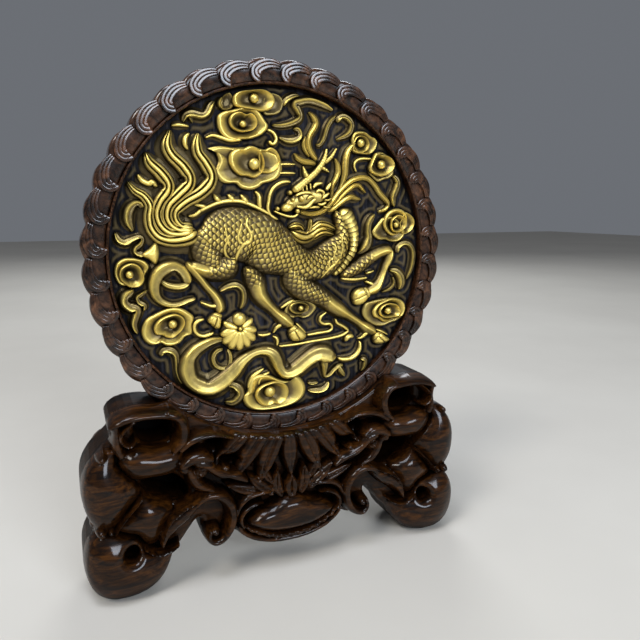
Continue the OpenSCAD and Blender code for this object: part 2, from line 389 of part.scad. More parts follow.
// Wisps round the edge of the field
UPPER_LEFT_WISP = [
    [[-53.6, 73, 1], [-52, 76.3, 3], [-48.5, 77.6, 3.6], [-43.3, 77, 3.4], [-40.2, 78.6, 3],
    [-38.2, 82.4, 2.8],
     [-36, 85.2, 1.2]],
    [[-50, 76.4, 2.4], [-48, 73, 1]],
    [[-31.3, 87.5, 1.4], [-32.8, 84, 3], [-31.3, 80.9, 1.4]]];
UPPER_WISPS = [
    [[3.5, 84.8, 1.6], [5.5, 88, 2.6], [9.5, 90.4, 2.4], [14, 91.2, 1]],
    [[35, 84, 1], [30, 86.3, 2.6], [24, 88.1, 3], [19, 88.7, 3], [14.2, 87.7, 3.2], [10.8, 86, 3.6],
    [12.6, 83, 3.4],
     [13.7, 80, 3.2], [12.5, 77.5, 2.8], [8, 75.3, 2.4], [2.5, 74, 2], [-3, 73.8, 1]],
    [[1, 67.6, 1.2], [5, 66, 2.6], [9.5, 66, 3], [13, 67.7, 2.8], [13.7, 70.4, 2.4], [12.2, 72.4, 2.2],
    [10, 72.5, 1.2]]];
UPPER_RIGHT_WISPS = [
    [[37, 81, 1.2], [33.7, 78.4, 2], [31.2, 74.5, 2.2], [29.7, 70, 2.2], [28.2, 66.6, 2], [26, 64.2, 1.8],
     [24, 64.4, 1]],
    [[37.4, 77.5, 2], [38.5, 79.7, 2.8], [41.3, 81, 3], [44.7, 79.8, 3], [46.9, 77, 3], [46.4, 73.4, 2.8],
     [44, 70.7, 2.6], [40, 68.8, 1.6], [37.2, 67.6, 1.2]]];
RIGHT_WISPS = [
    [[80.5, -1, 2], [80.3, 2.2, 2.6], [82.8, 4.7, 2.6], [86.3, 5.4, 2.6], [89.6, 3.9, 2.8],
    [91.8, 0.5, 2.8],
     [92.4, -4, 2.8], [91.6, -9, 2.6], [90.1, -13.5, 2.2], [87.5, -18.3, 1.2]],
    [[74.8, -11.5, 1.4], [79.3, -12.5, 3.4], [82.6, -16, 4.4], [83.6, -20.5, 4.2], [82.4, -25, 2]],
    [[77.5, -16, 1], [78.6, -20, 1.8], [76, -23.5, 1.8], [70, -25.7, 1]]];
LEFT_WISPS = [
    [[-76.5, 27.3, 1.6], [-77.9, 29.6, 3], [-80.4, 29.8, 3.4], [-82.9, 28, 3.8], [-84.5, 24.5, 4],
    [-84.4, 20, 3.6],
     [-82.3, 15.2, 1.2]],
    [[-91.6, 15, 1.2], [-90, 11, 3], [-86.5, 9.6, 3.4], [-82.7, 11.2, 2.4], [-79.4, 12.2, 2.2],
    [-77.9, 11, 2.2],
     [-78.8, 8.4, 2.2], [-81, 6.6, 2.2], [-81.7, 4.6, 2.4], [-80, 3.4, 2.8], [-77, 3.4, 4],
     [-74.3, 3.3, 6.5],
     [-71, 3.2, 10], [-68.5, 3, 10]]];
LOWER_LEFT_WISPS = [
    [[-83.5, -16.2, 2], [-87.5, -19, 4.4], [-88.4, -22.8, 5], [-85.8, -25.8, 4.6], [-82.8, -27.3, 4],
    [-83.4, -30.7, 3.4],
     [-84.6, -34.5, 3], [-84.2, -38, 2.4], [-82.6, -41, 1.2]],
    [[-76, -16.6, 1], [-80, -19, 2], [-81.9, -20.7, 2.2], [-81.2, -23.3, 2.2], [-78.4, -25.3, 2.2],
    [-78.8, -28.5, 1]]];
HOOF_LOOP = [
    [[-45.5, -35.2, 1], [-49, -35.8, 1.8], [-51.5, -38, 2], [-51.4, -41.5, 2], [-49.2, -44.1, 2],
    [-46, -45, 2],
     [-42.5, -44.2, 1.8], [-40, -43.2, 1]]];
LEFT_HOOK = [
    [[-71.4, -55, 1.6], [-70.4, -52.6, 2.8], [-68, -51.4, 3.2], [-64.8, -52.2, 3.4], [-62.7, -55, 3],
    [-62.3, -59.5, 2.4],
     [-62.4, -64, 2], [-61.4, -68.5, 1.8], [-59.6, -72.4, 1]]];
LOWER_WISPS = [
    [[-34, -76.2, 1.6], [-30.4, -76.2, 3.4], [-27.6, -78.4, 5], [-26.4, -81.5, 5], [-27.6, -84.8, 4.6],
    [-31, -87, 3.4],
     [-35, -86.4, 1.6]],
    [[18, -85.2, 1.2], [22.5, -86, 2.8], [27.5, -85.9, 3], [30.8, -84.1, 2.6], [32.2, -81, 1.2]],
    [[18, -80.4, 1], [21.4, -81.2, 1.6], [25.4, -80.8, 1]],
    [[55, -68.3, 1.4], [57.5, -69.3, 2.8], [58.1, -72, 2.8], [57.2, -75, 2], [55.5, -77, 1]]];
LOWER_LOOP = [
    [[38.6, -66.4, 1.2], [42.5, -67.5, 2.4], [47.5, -67.3, 2.6], [51.5, -65.2, 2.6], [53.8, -62, 2.4],
    [54.3, -58.5, 1.8],
     [53.8, -56.4, 1]],
    [[43.8, -56.3, 1.4], [44.7, -54, 3], [47.3, -52.7, 2.8], [50, -53.6, 1.2]]];
GROUND_LINES = [
    [[-1, -55.2, 1.2], [10, -54.8, 1.6], [22, -53.8, 1.6], [33, -53, 1.6], [41.5, -51.6, 1.6],
    [45.3, -49.3, 1.6],
     [44, -47.3, 1.6], [41, -45.3, 1.6], [38, -43.5, 1.6], [36.8, -40.5, 1]],
    [[17.4, -49.7, 1.2], [25, -48.9, 1.6], [32.6, -48.2, 1.6], [34.5, -46, 1.6], [33, -43.8, 1.6],
    [29, -43.5, 1.6],
     [26.4, -41.5, 1.6], [27, -38.8, 1.6], [31, -35.8, 1]],
    [[-4.6, -48.6, 1], [-2.4, -49.8, 1.6], [-1.6, -52, 1.6], [-2.2, -55.2, 1]],
    [[-14.4, -46.6, 1], [-11, -47.4, 1.6], [-7, -47, 1.4], [-5.6, -46.2, 1]]];
LEG_FLAMES = [
    [[40.4, -15.4, 1], [44, -16, 1.8], [50.2, -16.4, 2], [59.3, -15.8, 1.2]],
    [[57.5, -13, 1], [60.5, -12.4, 1.6], [64, -11.6, 1]]];

// Right half of the stand's outline, from the middle of the pendant to the shoulder
STAND_EDGE = [
    [0, 13.5], [12, 14.2], [23, 17], [30, 21.5], [34, 24], [38, 22.5], [43, 20.5], [49, 21], [53, 25],
    [54.2, 31],
    [54, 36.6], [57, 35.6], [61, 30.5], [66, 24], [71, 19], [74, 13], [79, 6.5], [86, 2], [95, 0], [104, 0],
    [112, 3.5], [117, 10], [119.5, 19], [119.5, 28], [117.2, 35.5], [113.5, 41], [115, 44.5], [115, 48.5],
    [117.5, 56], [118.5, 66], [117, 75], [112.5, 83], [106.5, 89], [102, 93.4], [101, 98], [102.8, 101.6],
    [101, 106], [96, 109.2], [88, 110.4], [78, 109.6], [70, 110.2]];
UPPER_HOLE = [[68, 96], [69.8, 101], [78, 102.8], [87, 102.4], [89, 98], [88, 92.6], [83.6, 88.4],
    [75.6, 87.6], [70, 90]];
BIG_HOLE = [[60.6, 57.4], [65.5, 64.6], [73, 68.6], [83, 69], [86.8, 64.6], [83, 58.6], [75, 54],
    [66, 51.4], [61.2, 53]];
RIM_HOLE = [[40.6, 84.4], [42.6, 87.4], [47.4, 86], [49.2, 82.6], [45.4, 80.2], [41.6, 81.6]];
LEAF_HOLE = [[31.2, 72.4], [36.6, 76.2], [42.6, 75.8], [41.6, 72.4], [36.6, 70.4]];
FOOT_HOLE = [[90, 27.8], [91.4, 31], [94.4, 32], [97.4, 30.6], [98.4, 27.4], [96.6, 24.4], [93.4, 23.6],
    [91, 25]];

// Carved forms on the right half of the front board, each point as across, up, width
RIGHT_SCROLL = [
    [[70, 106, 6], [78, 106.2, 6.5], [87, 106.6, 6.5], [95, 105.6, 6.5], [100.4, 103, 4], [102, 102, 1.5]],
    [[70, 104.5, 6], [65.4, 100, 5.6], [64, 94, 7], [66, 88.5, 7], [71, 85, 5]],
    [[97, 104, 5], [98, 99, 5.4], [97.4, 93, 6], [94, 87, 6]],
    [[97, 98.6, 2.6], [93.4, 99.6, 2.6], [91.2, 96.4, 2.6], [93.2, 93.4, 2.6], [96.2, 94, 2.4]],
    [[68, 82, 7], [75, 80, 10], [84, 78.4, 12], [92, 79.6, 12], [99, 83, 9]],
    [[98, 86, 8], [105, 78, 18], [107.4, 67, 22], [106, 56.5, 19], [101, 48, 12]],
    [[72, 48.6, 6], [80, 50.4, 10], [87, 49, 14], [93, 43.6, 13], [98, 38, 8]],
    [[99, 37, 8], [107.4, 33.4, 12], [110.6, 24, 15], [108, 13, 15], [100, 8.4, 13], [90, 9.4, 13],
    [82.6, 15, 11],
     [80, 21, 7]],
    [[86.6, 22, 5], [85, 29, 7], [83.4, 36, 9]]];
RIGHT_BRANCH = [
    [[72, 74, 8], [64, 72, 9], [57.4, 75, 9], [52, 73.4, 8], [47, 68.6, 7.6], [41, 65, 7],
    [35, 62.5, 6.4], [29, 60.6, 5]],
    [[62, 83, 7], [56, 87.6, 6], [50, 90.4, 5], [44, 91.6, 3]],
    [[58, 70, 6], [54, 63, 8], [50, 57, 7], [48, 52, 7]],
    [[77, 36, 8], [72, 38, 9], [66, 42.6, 9], [59, 46.8, 8], [52, 49.6, 8], [45, 48, 8],
    [39.6, 43.6, 6.6], [36, 38, 5]],
    [[50.4, 35, 4], [48.6, 29.5, 6], [46, 25, 6.6], [42.6, 24, 4]]];
LEAF_FAN = [
    [[-42, 91.2, 3], [-30, 86.9, 3.2], [-19, 84.3, 3.2], [-7, 82.8, 3.2], [7, 82.8, 3.2],
    [19, 84.3, 3.2], [30, 86.9, 3.2], [42, 91.2, 3]],
    [[0.1, 81.7, 3], [0, 73, 9], [0, 63, 7], [0, 57, 1.5]]];
FAN_LEAVES = [
    [[8.5, 82.6, 3], [11, 74, 8.4], [14.5, 65, 7.4], [17.5, 57, 1.5]],
    [[18.5, 84, 3], [22, 77, 7.6], [26.5, 70, 6.8], [30, 65.2, 1.5]],
    [[28, 86.2, 2.5], [33.4, 81.6, 6], [38, 78, 4], [40.6, 76.6, 1.2]],
    [[8, 49.5, 5], [9.5, 53.5, 7], [8.6, 57.8, 4], [9.5, 62, 2]],
    [[16, 49, 6], [19, 53, 8], [23.4, 56, 6], [27, 56.6, 3]],
    [[24, 47.2, 5], [28, 50.4, 7], [33, 52.4, 5], [37, 52.4, 2]]];
PENDANT = [
    [[-27, 31, 7], [-22, 31.4, 15], [-12, 31.6, 20], [0, 31.6, 21.4], [12, 31.6, 20], [22, 31.4, 15],
    [27, 31, 7]],
    [[-31, 27, 3.6], [-25, 20.6, 4.4], [-13, 16.8, 4.8], [0, 16, 5], [13, 16.8, 4.8], [25, 20.6, 4.4],
    [31, 27, 3.6]],
    [[-28, 38, 3.4], [-22, 42.6, 4], [-12, 45, 4.4], [0, 45.6, 4.4], [12, 45, 4.4], [22, 42.6, 4],
    [28, 38, 3.4]],
    [[-31, 27, 3.4], [-31, 32, 4], [-28, 38, 3.4]], [[31, 27, 3.4], [31, 32, 4], [28, 38, 3.4]]];

// Smooth closed or open run of points through hand-placed ones
function mix(a, b, c, d, t) =
    0.5 * (2 * b + (c - a) * t + (2 * a - 5 * b + 4 * c - d) * t * t + (3 * b - a - 3 * c + d) * t * t * t);
function closed(p, n) =
    let (m = len(p))
    [for (i = [0 : m - 1]) for (j = [0 : n - 1])
        mix(p[(i + m - 1) % m], p[i], p[(i + 1) % m], p[(i + 2) % m], j / n)];
function open(p, n) =
    let (m = len(p))
    [for (i = [0 : m - 2]) for (j = [0 : n - 1])
        mix(p[max(i - 1, 0)], p[i], p[i + 1], p[min(i + 2, m - 1)], j / n)];

// Heading of a strand at one of its points, and the sideways direction there
function heading(p, i) =
    let (v = p[min(i + 1, len(p) - 1)] - p[max(i - 1, 0)], d = [v[0], v[1]]) d / norm(d);
function widest(p) = max([for (q = p) q[2]]);
function rise(w, top) = min(top, 1.5 + 0.55 * w);

// Points of the section at one point of a strand
function section(p, i, form, top) =
    let (t = heading(p, i), w = p[i][2], h = rise(p[i][2], top))
    [for (s = form) [p[i][0] + t[0] * s[2] * bow - t[1] * s[0] * w, -s[1] * h,
                     p[i][1] + t[1] * s[2] * bow + t[0] * s[0] * w]];

// The same for the room that a strand takes, with the gap round it
function room(p, i, top) =
    let (t = heading(p, i), w = p[i][2] / 2 + carve_gap)
    [for (s = [[-w, 2], [-w, -2 * top], [w, -2 * top], [w, 2]])
        [p[i][0] - t[1] * s[0], s[1], p[i][1] + t[0] * s[0]]];

// One straight link of a strand between two sections
module link(a, b) {
    n = len(a);
    hull() polyhedron(concat(a, b), [[for (i = [0 : n - 1]) i], [for (i = [2 * n - 1 : -1 : n]) i]]);
}

// A carved strand that stands on the plane y = 0
module strand(p, top) {
    form = widest(p) <= thin_w ? THIN : BROAD;
    for (i = [0 : len(p) - 2]) link(section(p, i, form, top), section(p, i + 1, form, top));
}

// The room that a strand takes
module strand_room(p, top) for (i = [0 : len(p) - 2]) link(room(p, i, top), room(p, i + 1, top));

// A round boss, given as across, up, radius
module dome(c, top) {
    points = [for (g = [[1, 0], [0.86, 0.6], [0.5, 1]]) for (a = [7 : 45 : 359])
        [c[0] + c[2] * g[0] * cos(a), -top * g[1], c[1] + c[2] * g[0] * sin(a)]];
    hull() polyhedron(points, [[for (i = [0 : 7]) i], [for (i = [23 : -1 : 16]) i],
    [for (i = [8 : 15]) i]]);
}

// Places carving on the field of the panel
module on_field() translate([0, field_y + depth_shift, panel_z]) scale([field_k, 1, field_k]) children();

// A group of strands on the field, cut back where other strands lie over them
module relief(own, over = []) {
    color(gilt) on_field() difference() {
        for (p = own) strand(p, relief_h);
        for (o = over) for (p = o) strand_room(p, relief_h);
    }
}

// Outline of a cloud's pad, drawn in a little so that its edge stays under the rims
function drawn_in(c) = [for (q = c[1]) q * 0.98 + [c[0][0], c[0][1]] * 0.02];

// A cloud on the field: hollowed pad, rolled rims and a round boss
module cloud(c, over = []) {
    color(gilt) on_field() difference() {
        union() {
            rotate([90, 0, 0]) linear_extrude(relief_h * 0.3) polygon(closed(drawn_in(c), 2));
            for (p = c[2]) strand(p, relief_h * 0.8);
            dome(c[0], relief_h * 0.75);
        }
        for (o = over) for (p = o) strand_room(p, relief_h);
    }
}

// Panel: the turned board, its bead and its wave border
module ground_board() {
    color(dark) translate([0, depth_shift, panel_z]) rotate([90, 0, 0]) {
        translate([0, 0, -panel_t / 2])
            cylinder(h = panel_t / 2 - rebate_y - joint_gap, r = rebate_r - joint_gap, $fn = 180);
        translate([0, 0, -panel_t / 2])
            cylinder(h = panel_t / 2 - field_y, r = border_r - joint_gap, $fn = 180);
    }
}

module bead_ring() {
    color(wood) translate([0, depth_shift, panel_z]) rotate([90, 0, 0])
        translate([0, 0, -field_y]) rotate_extrude($fn = 180) translate([bead_r - bead_w / 2, 0])
            polygon([[0, 0], [0, 4.6], [0.4, 5.2], [0.8, 5.4], [1.2, 5.2], [bead_w - joint_gap, 4.6],
                     [bead_w - joint_gap, 0]]);
}

function wave_point(q, j) =
    let (a = 90 - j * turn - q[0] * turn / 10, r = rim_r - (110 - q[1]) * border_w / 13.5)
    [r * cos(a), r * sin(a), q[2] * k];
function rim_point(q, j) =
    let (a = 90 - (j + q[0]) * turn, r = rim_r - (110 - q[1]) * border_w / 13.5) [r * cos(a), r * sin(a)];

module rim_outline() polygon([for (j = [0 : wave_count - 1]) for (q = SCALLOP) rim_point(q, j)]);

// One wave as an outline: out along one side of its middle line and back along the other
function side(p, s) =
    [for (i = [0 : len(p) - 1]) let (t = heading(p, i), w = s * p[i][2] / 2)
        [p[i][0] - t[1] * w, p[i][1] + t[0] * w]];
module wave(j) {
    p = [for (q = WAVE) wave_point(q, j)];
    polygon(concat(side(p, 1), [for (i = [len(p) - 1 : -1 : 0]) side(p, -1)[i]]));
}

module wave_border() {
    color(wood) translate([0, depth_shift, panel_z]) rotate([90, 0, 0]) difference() {
        union() {
            translate([0, 0, -panel_t / 2]) linear_extrude(panel_t / 2 - wave_base_y) rim_outline();
            translate([0, 0, -wave_base_y - 0.5]) linear_extrude(wave_base_y + 0.5 - rim_y) intersection() {
                union() for (j = [0 : wave_count - 1]) wave(j);
                rim_outline();
            }
        }
        cylinder(h = 2 * panel_t, r = border_r, center = true, $fn = 180);
        translate([0, 0, -panel_t / 2 - 1]) cylinder(h = panel_t / 2 + 1 - rebate_y, r = rebate_r, $fn = 180);
    }
}

// Qilin
module qilin_torso() {
    color(gilt) on_field() difference() {
        union() {
            for (p = TORSO) strand(p, relief_h);
            intersection() {
                for (p = BODY_FLAMES) translate([0, -relief_h * 0.6, 0]) strand(p, relief_h * 0.5);
                for (p = TORSO) strand_room(p, relief_h);
            }
        }
        for (o = [NECK_PLATES, LEFT_HIND_LEG, STRETCHED_FORELEG, RAISED_FORELEG, BACK_CREST, BEARD, FEELER,
                  TAIL])
            for (p = o) strand_room(p, relief_h);
    }
}
module neck_plates() {
    p = NECK_PLATES[0];
    steps = [for (i = [0 : len(p) - 2]) each [p[i], p[i] * 0.2 + p[i + 1] * 0.8 - [0, 0, 3]]];
    relief([steps], [MANE, RAISED_FORELEG, BEARD]);
}
module qilin_head() relief(HEAD, [ANTLERS]);
module antlers() relief(ANTLERS);
module mane() relief(MANE, [HEAD, ANTLERS]);
module forelock() relief(FORELOCK, [ANTLERS]);
module feeler() relief(FEELER, [HEAD, ANTLERS]);
module beard() relief(BEARD, [HEAD, MANE]);
module back_crest() relief(BACK_CREST, [FEELER, TAIL]);
module flame_tail() relief(TAIL);
module flame_tips() relief(FLAME_TIPS, [TAIL]);
module left_hind_leg() relief(LEFT_HIND_LEG);
module right_hind_leg() relief(RIGHT_HIND_LEG);
module raised_foreleg() relief(RAISED_FORELEG);
module stretched_foreleg() relief(STRETCHED_FORELEG);
module leg_flames() relief(LEG_FLAMES, [RAISED_FORELEG, STRETCHED_FORELEG]);
module ribboned_ball() relief(BALL, [LEFT_HIND_LEG]);

// Clouds
module top_cloud() cloud(TOP_CLOUD, [SCROLL_CLOUD[2], UPPER_LEFT_WISP]);
module scroll_cloud() cloud(SCROLL_CLOUD, [FLAME_TIPS]);
module large_cloud() cloud(LARGE_CLOUD, [SCROLL_CLOUD[2], TAIL, FEELER, ANTLERS, FORELOCK, BACK_CREST]);
module mane_cloud() cloud(MANE_CLOUD, [MANE, UPPER_RIGHT_CLOUD[2]]);
module upper_right_cloud() cloud(UPPER_RIGHT_CLOUD, [MANE]);
module right_cloud() cloud(RIGHT_CLOUD, [MANE, RIGHT_RIBBON]);
module lower_right_cloud() cloud(LOWER_RIGHT_CLOUD, [STRETCHED_FORELEG]);
module small_cloud() cloud(SMALL_CLOUD, [STRETCHED_FORELEG, RIGHT_HIND_LEG]);
module left_cloud() cloud(LEFT_CLOUD, [LEFT_WISPS]);
module lower_left_cloud() cloud(LOWER_LEFT_CLOUD, [LEFT_RIBBON]);
module bottom_cloud() cloud(BOTTOM_CLOUD, [BOTTOM_RIBBON]);

// Ribbons and wisps
module left_ribbon() relief(LEFT_RIBBON, [LEFT_HIND_LEG]);
module middle_ribbon() relief(MIDDLE_RIBBON, [LEFT_HIND_LEG, RIGHT_HIND_LEG, BALL]);
module bottom_ribbon() relief(BOTTOM_RIBBON, [BALL]);
module right_ribbon() relief(RIGHT_RIBBON, [MANE, NECK_PLATES, RAISED_FORELEG]);
module side_ribbon() relief(SIDE_RIBBON, [MANE, RIGHT_CLOUD[2], UPPER_RIGHT_CLOUD[2]]);
module upper_left_wisps() relief(UPPER_LEFT_WISP);
module upper_wisps() relief(UPPER_WISPS, [SCROLL_CLOUD[2], FORELOCK]);
module upper_right_wisps() relief(UPPER_RIGHT_WISPS, [ANTLERS, UPPER_WISPS]);
module right_wisps() relief(RIGHT_WISPS, [RIGHT_CLOUD[2], RAISED_FORELEG]);
module left_wisps() relief(LEFT_WISPS, [TAIL]);
module lower_left_wisps() relief(LOWER_LEFT_WISPS, [LEFT_CLOUD[2], LOWER_LEFT_CLOUD[2]]);
module hoof_loop() relief(HOOF_LOOP, [LEFT_HIND_LEG, BALL, LOWER_LEFT_CLOUD[2]]);
module left_hook() relief(LEFT_HOOK, [BOTTOM_RIBBON]);
module lower_wisps() relief(LOWER_WISPS, [BOTTOM_RIBBON, BOTTOM_CLOUD[2]]);
module lower_loop() relief(LOWER_LOOP, [STRETCHED_FORELEG, BOTTOM_RIBBON, GROUND_LINES]);
module ground_lines() relief(GROUND_LINES, [STRETCHED_FORELEG, RIGHT_HIND_LEG, BALL, SMALL_CLOUD[2]]);

// Stand
function mirrored(p) = [for (i = [len(p) - 1 : -1 : 0]) [-p[i][0], p[i][1]]];

module stand_shape(cut_r, pierced = true) {
    run = concat(open(STAND_EDGE, 2), [STAND_EDGE[len(STAND_EDGE) - 1]]);
    half = [for (q = run) [q[0], max(q[1], 0)]];
    difference() {
        scale([k, k]) difference() {
            polygon(concat(half, mirrored(half)));
            if (pierced) stand_holes();
        }
        translate([0, panel_z]) circle(r = cut_r, $fn = 240);
    }
}

module stand_holes() {
    for (s = [-1, 1]) scale([s, 1]) {
        polygon(closed(UPPER_HOLE, 2));
        polygon(closed(BIG_HOLE, 2));
        polygon(closed(RIM_HOLE, 2));
        polygon(closed(LEAF_HOLE, 2));
        polygon(closed(FOOT_HOLE, 2));
    }
}

// Dowels through both boards and the core, or the bores for them
module dowel_set(grow) {
    reach = slot_y + dowel_reach + grow;
    for (s = [-1, 1]) for (q = dowel_spots)
        translate([s * q[0] * k, depth_shift, q[1] * k]) rotate([90, 0, 0])
            cylinder(h = 2 * reach, d = dowel_d + 2 * grow, center = true, $fn = 48);
}

// The front board is pierced, and the back board closes its holes from behind
module board(y0, pierced) {
    color(wood) difference() {
        translate([0, depth_shift + y0, 0]) rotate([90, 0, 0]) linear_extrude(board_t)
            stand_shape(lip_r, pierced);
        dowel_set(joint_gap);
    }
}
module front_board() board(-slot_y, true);
module back_board() board(slot_y + board_t, false);

// Core between the boards: two uprights with the arc-seated rail tenoned between them
module core(x0, x1) {
    translate([0, depth_shift + slot_y, 0]) rotate([90, 0, 0]) linear_extrude(2 * slot_y)
        intersection() {
            stand_shape(seat_r);
            translate([x0, -1]) square([x1 - x0, 200 * k]);
        }
}
module tenons(grow) {
    for (s = [-1, 1])
        translate([s * (rail_half * k + (tenon[0] - tenon_root) / 2), depth_shift, tenon_z * k])
            cube([tenon[0] + tenon_root + 2 * grow, tenon[1] + 2 * grow, tenon[2] + 2 * grow],
                 center = true);
}
module upright(x0, x1) {
    color(wood) difference() {
        core(x0, x1);
        tenons(joint_gap);
        dowel_set(joint_gap);
    }
}
module left_upright() upright(-200 * k, -(rail_half + joint_gap) * k);
module right_upright() upright((rail_half + joint_gap) * k, 200 * k);
module seat_rail() {
    color(wood) difference() {
        union() {
            core(-rail_half * k, rail_half * k);
            tenons(0);
        }
        dowel_set(joint_gap);
    }
}
module dowels() color(wood) dowel_set(0);

// Carving on the front board, cut back where other carving lies over it
module on_front(over = []) {
    color(wood) translate([0, depth_shift - front_y, 0]) scale([k, 1, k]) difference() {
        union() children();
        for (o = over) for (p = o) strand_room(p, carve_h);
    }
}
module right_scroll() on_front([RIGHT_BRANCH]) for (p = RIGHT_SCROLL) strand(p, carve_h);
module left_scroll() mirror([1, 0, 0]) right_scroll();
module right_branch() on_front([FAN_LEAVES, LEAF_FAN, PENDANT]) for (p = RIGHT_BRANCH) strand(p, carve_h);
module left_branch() mirror([1, 0, 0]) right_branch();
module leaf_fan() {
    on_front() {
        for (p = LEAF_FAN) strand(p, carve_h * 0.6);
        for (s = [0, 1]) mirror([s, 0, 0]) for (p = FAN_LEAVES) strand(p, carve_h * 0.62);
    }
}
module pendant() on_front([FAN_LEAVES]) for (p = PENDANT) strand(p, carve_h);

// What is drawn
ground_board();
wave_border();
bead_ring();
qilin_torso();
neck_plates();
qilin_head();
antlers();
mane();
forelock();
feeler();
beard();
back_crest();
flame_tail();
flame_tips();
left_hind_leg();
right_hind_leg();
raised_foreleg();
stretched_foreleg();
leg_flames();
ribboned_ball();
top_cloud();
scroll_cloud();
large_cloud();
mane_cloud();
upper_right_cloud();
right_cloud();
lower_right_cloud();
small_cloud();
left_cloud();
lower_left_cloud();
bottom_cloud();
left_ribbon();
middle_ribbon();
bottom_ribbon();
right_ribbon();
side_ribbon();
upper_left_wisps();
upper_wisps();
upper_right_wisps();
right_wisps();
left_wisps();
lower_left_wisps();
hoof_loop();
left_hook();
lower_wisps();
lower_loop();
ground_lines();
front_board();
back_board();
left_upright();
right_upright();
seat_rail();
dowels();
left_scroll();
right_scroll();
left_branch();
right_branch();
leaf_fan();
pendant();
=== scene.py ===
"""Looks of a Chinese table screen: a gilded relief on a round panel that stands in a pierced stand."""

import json
import math

import bmesh
import bpy
import numpy as np
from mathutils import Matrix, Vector
from mathutils.kdtree import KDTree

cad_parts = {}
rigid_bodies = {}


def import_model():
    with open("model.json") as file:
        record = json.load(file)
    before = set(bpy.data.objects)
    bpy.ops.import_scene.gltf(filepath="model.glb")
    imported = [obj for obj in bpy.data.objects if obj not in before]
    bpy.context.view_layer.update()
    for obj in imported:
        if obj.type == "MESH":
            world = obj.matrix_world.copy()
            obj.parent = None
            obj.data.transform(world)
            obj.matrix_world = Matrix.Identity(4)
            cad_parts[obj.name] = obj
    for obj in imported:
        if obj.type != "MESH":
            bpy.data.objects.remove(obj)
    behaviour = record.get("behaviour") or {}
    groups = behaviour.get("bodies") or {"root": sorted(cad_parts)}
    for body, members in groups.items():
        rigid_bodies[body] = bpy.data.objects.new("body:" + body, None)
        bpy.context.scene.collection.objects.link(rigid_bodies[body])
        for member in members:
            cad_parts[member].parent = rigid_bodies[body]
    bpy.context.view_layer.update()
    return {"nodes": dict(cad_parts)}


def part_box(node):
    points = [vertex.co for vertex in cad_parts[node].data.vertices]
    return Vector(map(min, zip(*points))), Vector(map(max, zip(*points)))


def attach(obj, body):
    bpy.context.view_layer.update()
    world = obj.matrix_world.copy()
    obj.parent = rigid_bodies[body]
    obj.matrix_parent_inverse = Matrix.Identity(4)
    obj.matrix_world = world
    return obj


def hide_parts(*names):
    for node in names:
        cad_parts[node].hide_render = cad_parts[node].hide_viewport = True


bl_info = {
    "name": "Table Screen Looks",
    "version": (1, 0, 0),
    "blender": (4, 5, 0),
    "location": "View3D > Sidebar > Table Screen",
    "description": "Builds the carved and gilded looks of a round table screen over its packed solids",
    "category": "Object",
}

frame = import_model()

# Sizes of the drawing, in millimetres on a 220 mm panel
MM = 0.001
BOARD_R = 101.2
BORDER_R = 97.3
LIP_R = 105.5
PANEL_UP = 189.7
WAVES = 36

# Places of the frame, in metres
BOARD_LOW, BOARD_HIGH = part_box("ground_board")
SCALE = BOARD_HIGH.x / BOARD_R
FIELD_Y = BOARD_LOW.y
PANEL_BACK_Y = BOARD_HIGH.y
PANEL_Z = (BOARD_LOW.z + BOARD_HIGH.z) / 2
RIM_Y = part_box("wave_border")[0].y
FRONT_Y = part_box("front_board")[0].y
SLOT_FRONT_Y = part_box("front_board")[1].y
SLOT_BACK_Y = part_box("back_board")[0].y
BACK_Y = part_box("back_board")[1].y

# The four strands of the flame tail, each point as across, up, width
TAIL = [
    [[-48, 15, 7], [-54, 11.5, 6], [-62, 10.2, 5], [-69, 12, 4.5], [-73, 17, 4.2],
     [-73.8, 23, 4], [-73, 29, 3.8], [-76, 34, 3.4], [-80.5, 37, 2.8], [-84, 41.5, 1.2]],
    [[-50, 15.5, 6], [-57, 13.5, 5], [-64, 14.5, 4.5], [-68.5, 19, 4.2], [-69.8, 25, 4.2],
     [-67.5, 31, 4.5], [-63.8, 36, 4.8], [-63.2, 41, 4.8], [-67, 46.5, 4.8], [-72, 51.5, 4],
     [-74, 57, 1.2]],
    [[-50, 16, 5], [-57, 15.5, 4.5], [-62, 18, 4.2], [-64.5, 23, 4.2], [-63, 29, 4.4],
     [-57.5, 34.5, 4.8], [-52.5, 39.5, 5], [-51.6, 44.5, 5], [-55, 50, 5], [-60.5, 55.5, 4.6],
     [-62.6, 61, 4], [-60.5, 69, 1.2]],
    [[-50, 17, 4], [-56, 17.5, 4], [-59.5, 21, 4], [-59.5, 26, 4.2], [-54, 31, 4.6],
     [-46, 35.5, 5], [-40.8, 40.5, 5.2], [-39.6, 46, 5], [-42.5, 52, 4.8], [-46, 57, 4.4],
     [-46.6, 62, 3.6], [-45.4, 68, 1.2]]]

# Loose flame tips beside the tail
FLAME_TIPS = [
    [[-51, 58.5, 1.2], [-52.8, 61.5, 2.6], [-52.5, 65, 2.4], [-50, 67.8, 1]],
    [[-78.6, 45.5, 1.2], [-76.5, 42.3, 2.8], [-73.2, 40.6, 2.8], [-70.8, 41, 3.2], [-68.3, 38.4, 1.4]],
    [[-60, 71, 1], [-56, 71.6, 2], [-50, 71, 1]]]

# Skull, drawn low, and outline of the snout
SKULL = [[4, 28.6, 5], [9, 30.4, 8], [14, 32.4, 10], [20, 34, 11], [26, 34, 9], [30, 33.4, 5]]
SNOUT = [[1.2, 27.2], [2.6, 29.6], [5.4, 30.6], [8.4, 30.2], [9.4, 28.2], [7.8, 26], [4.6, 25.2], [2, 25.6]]

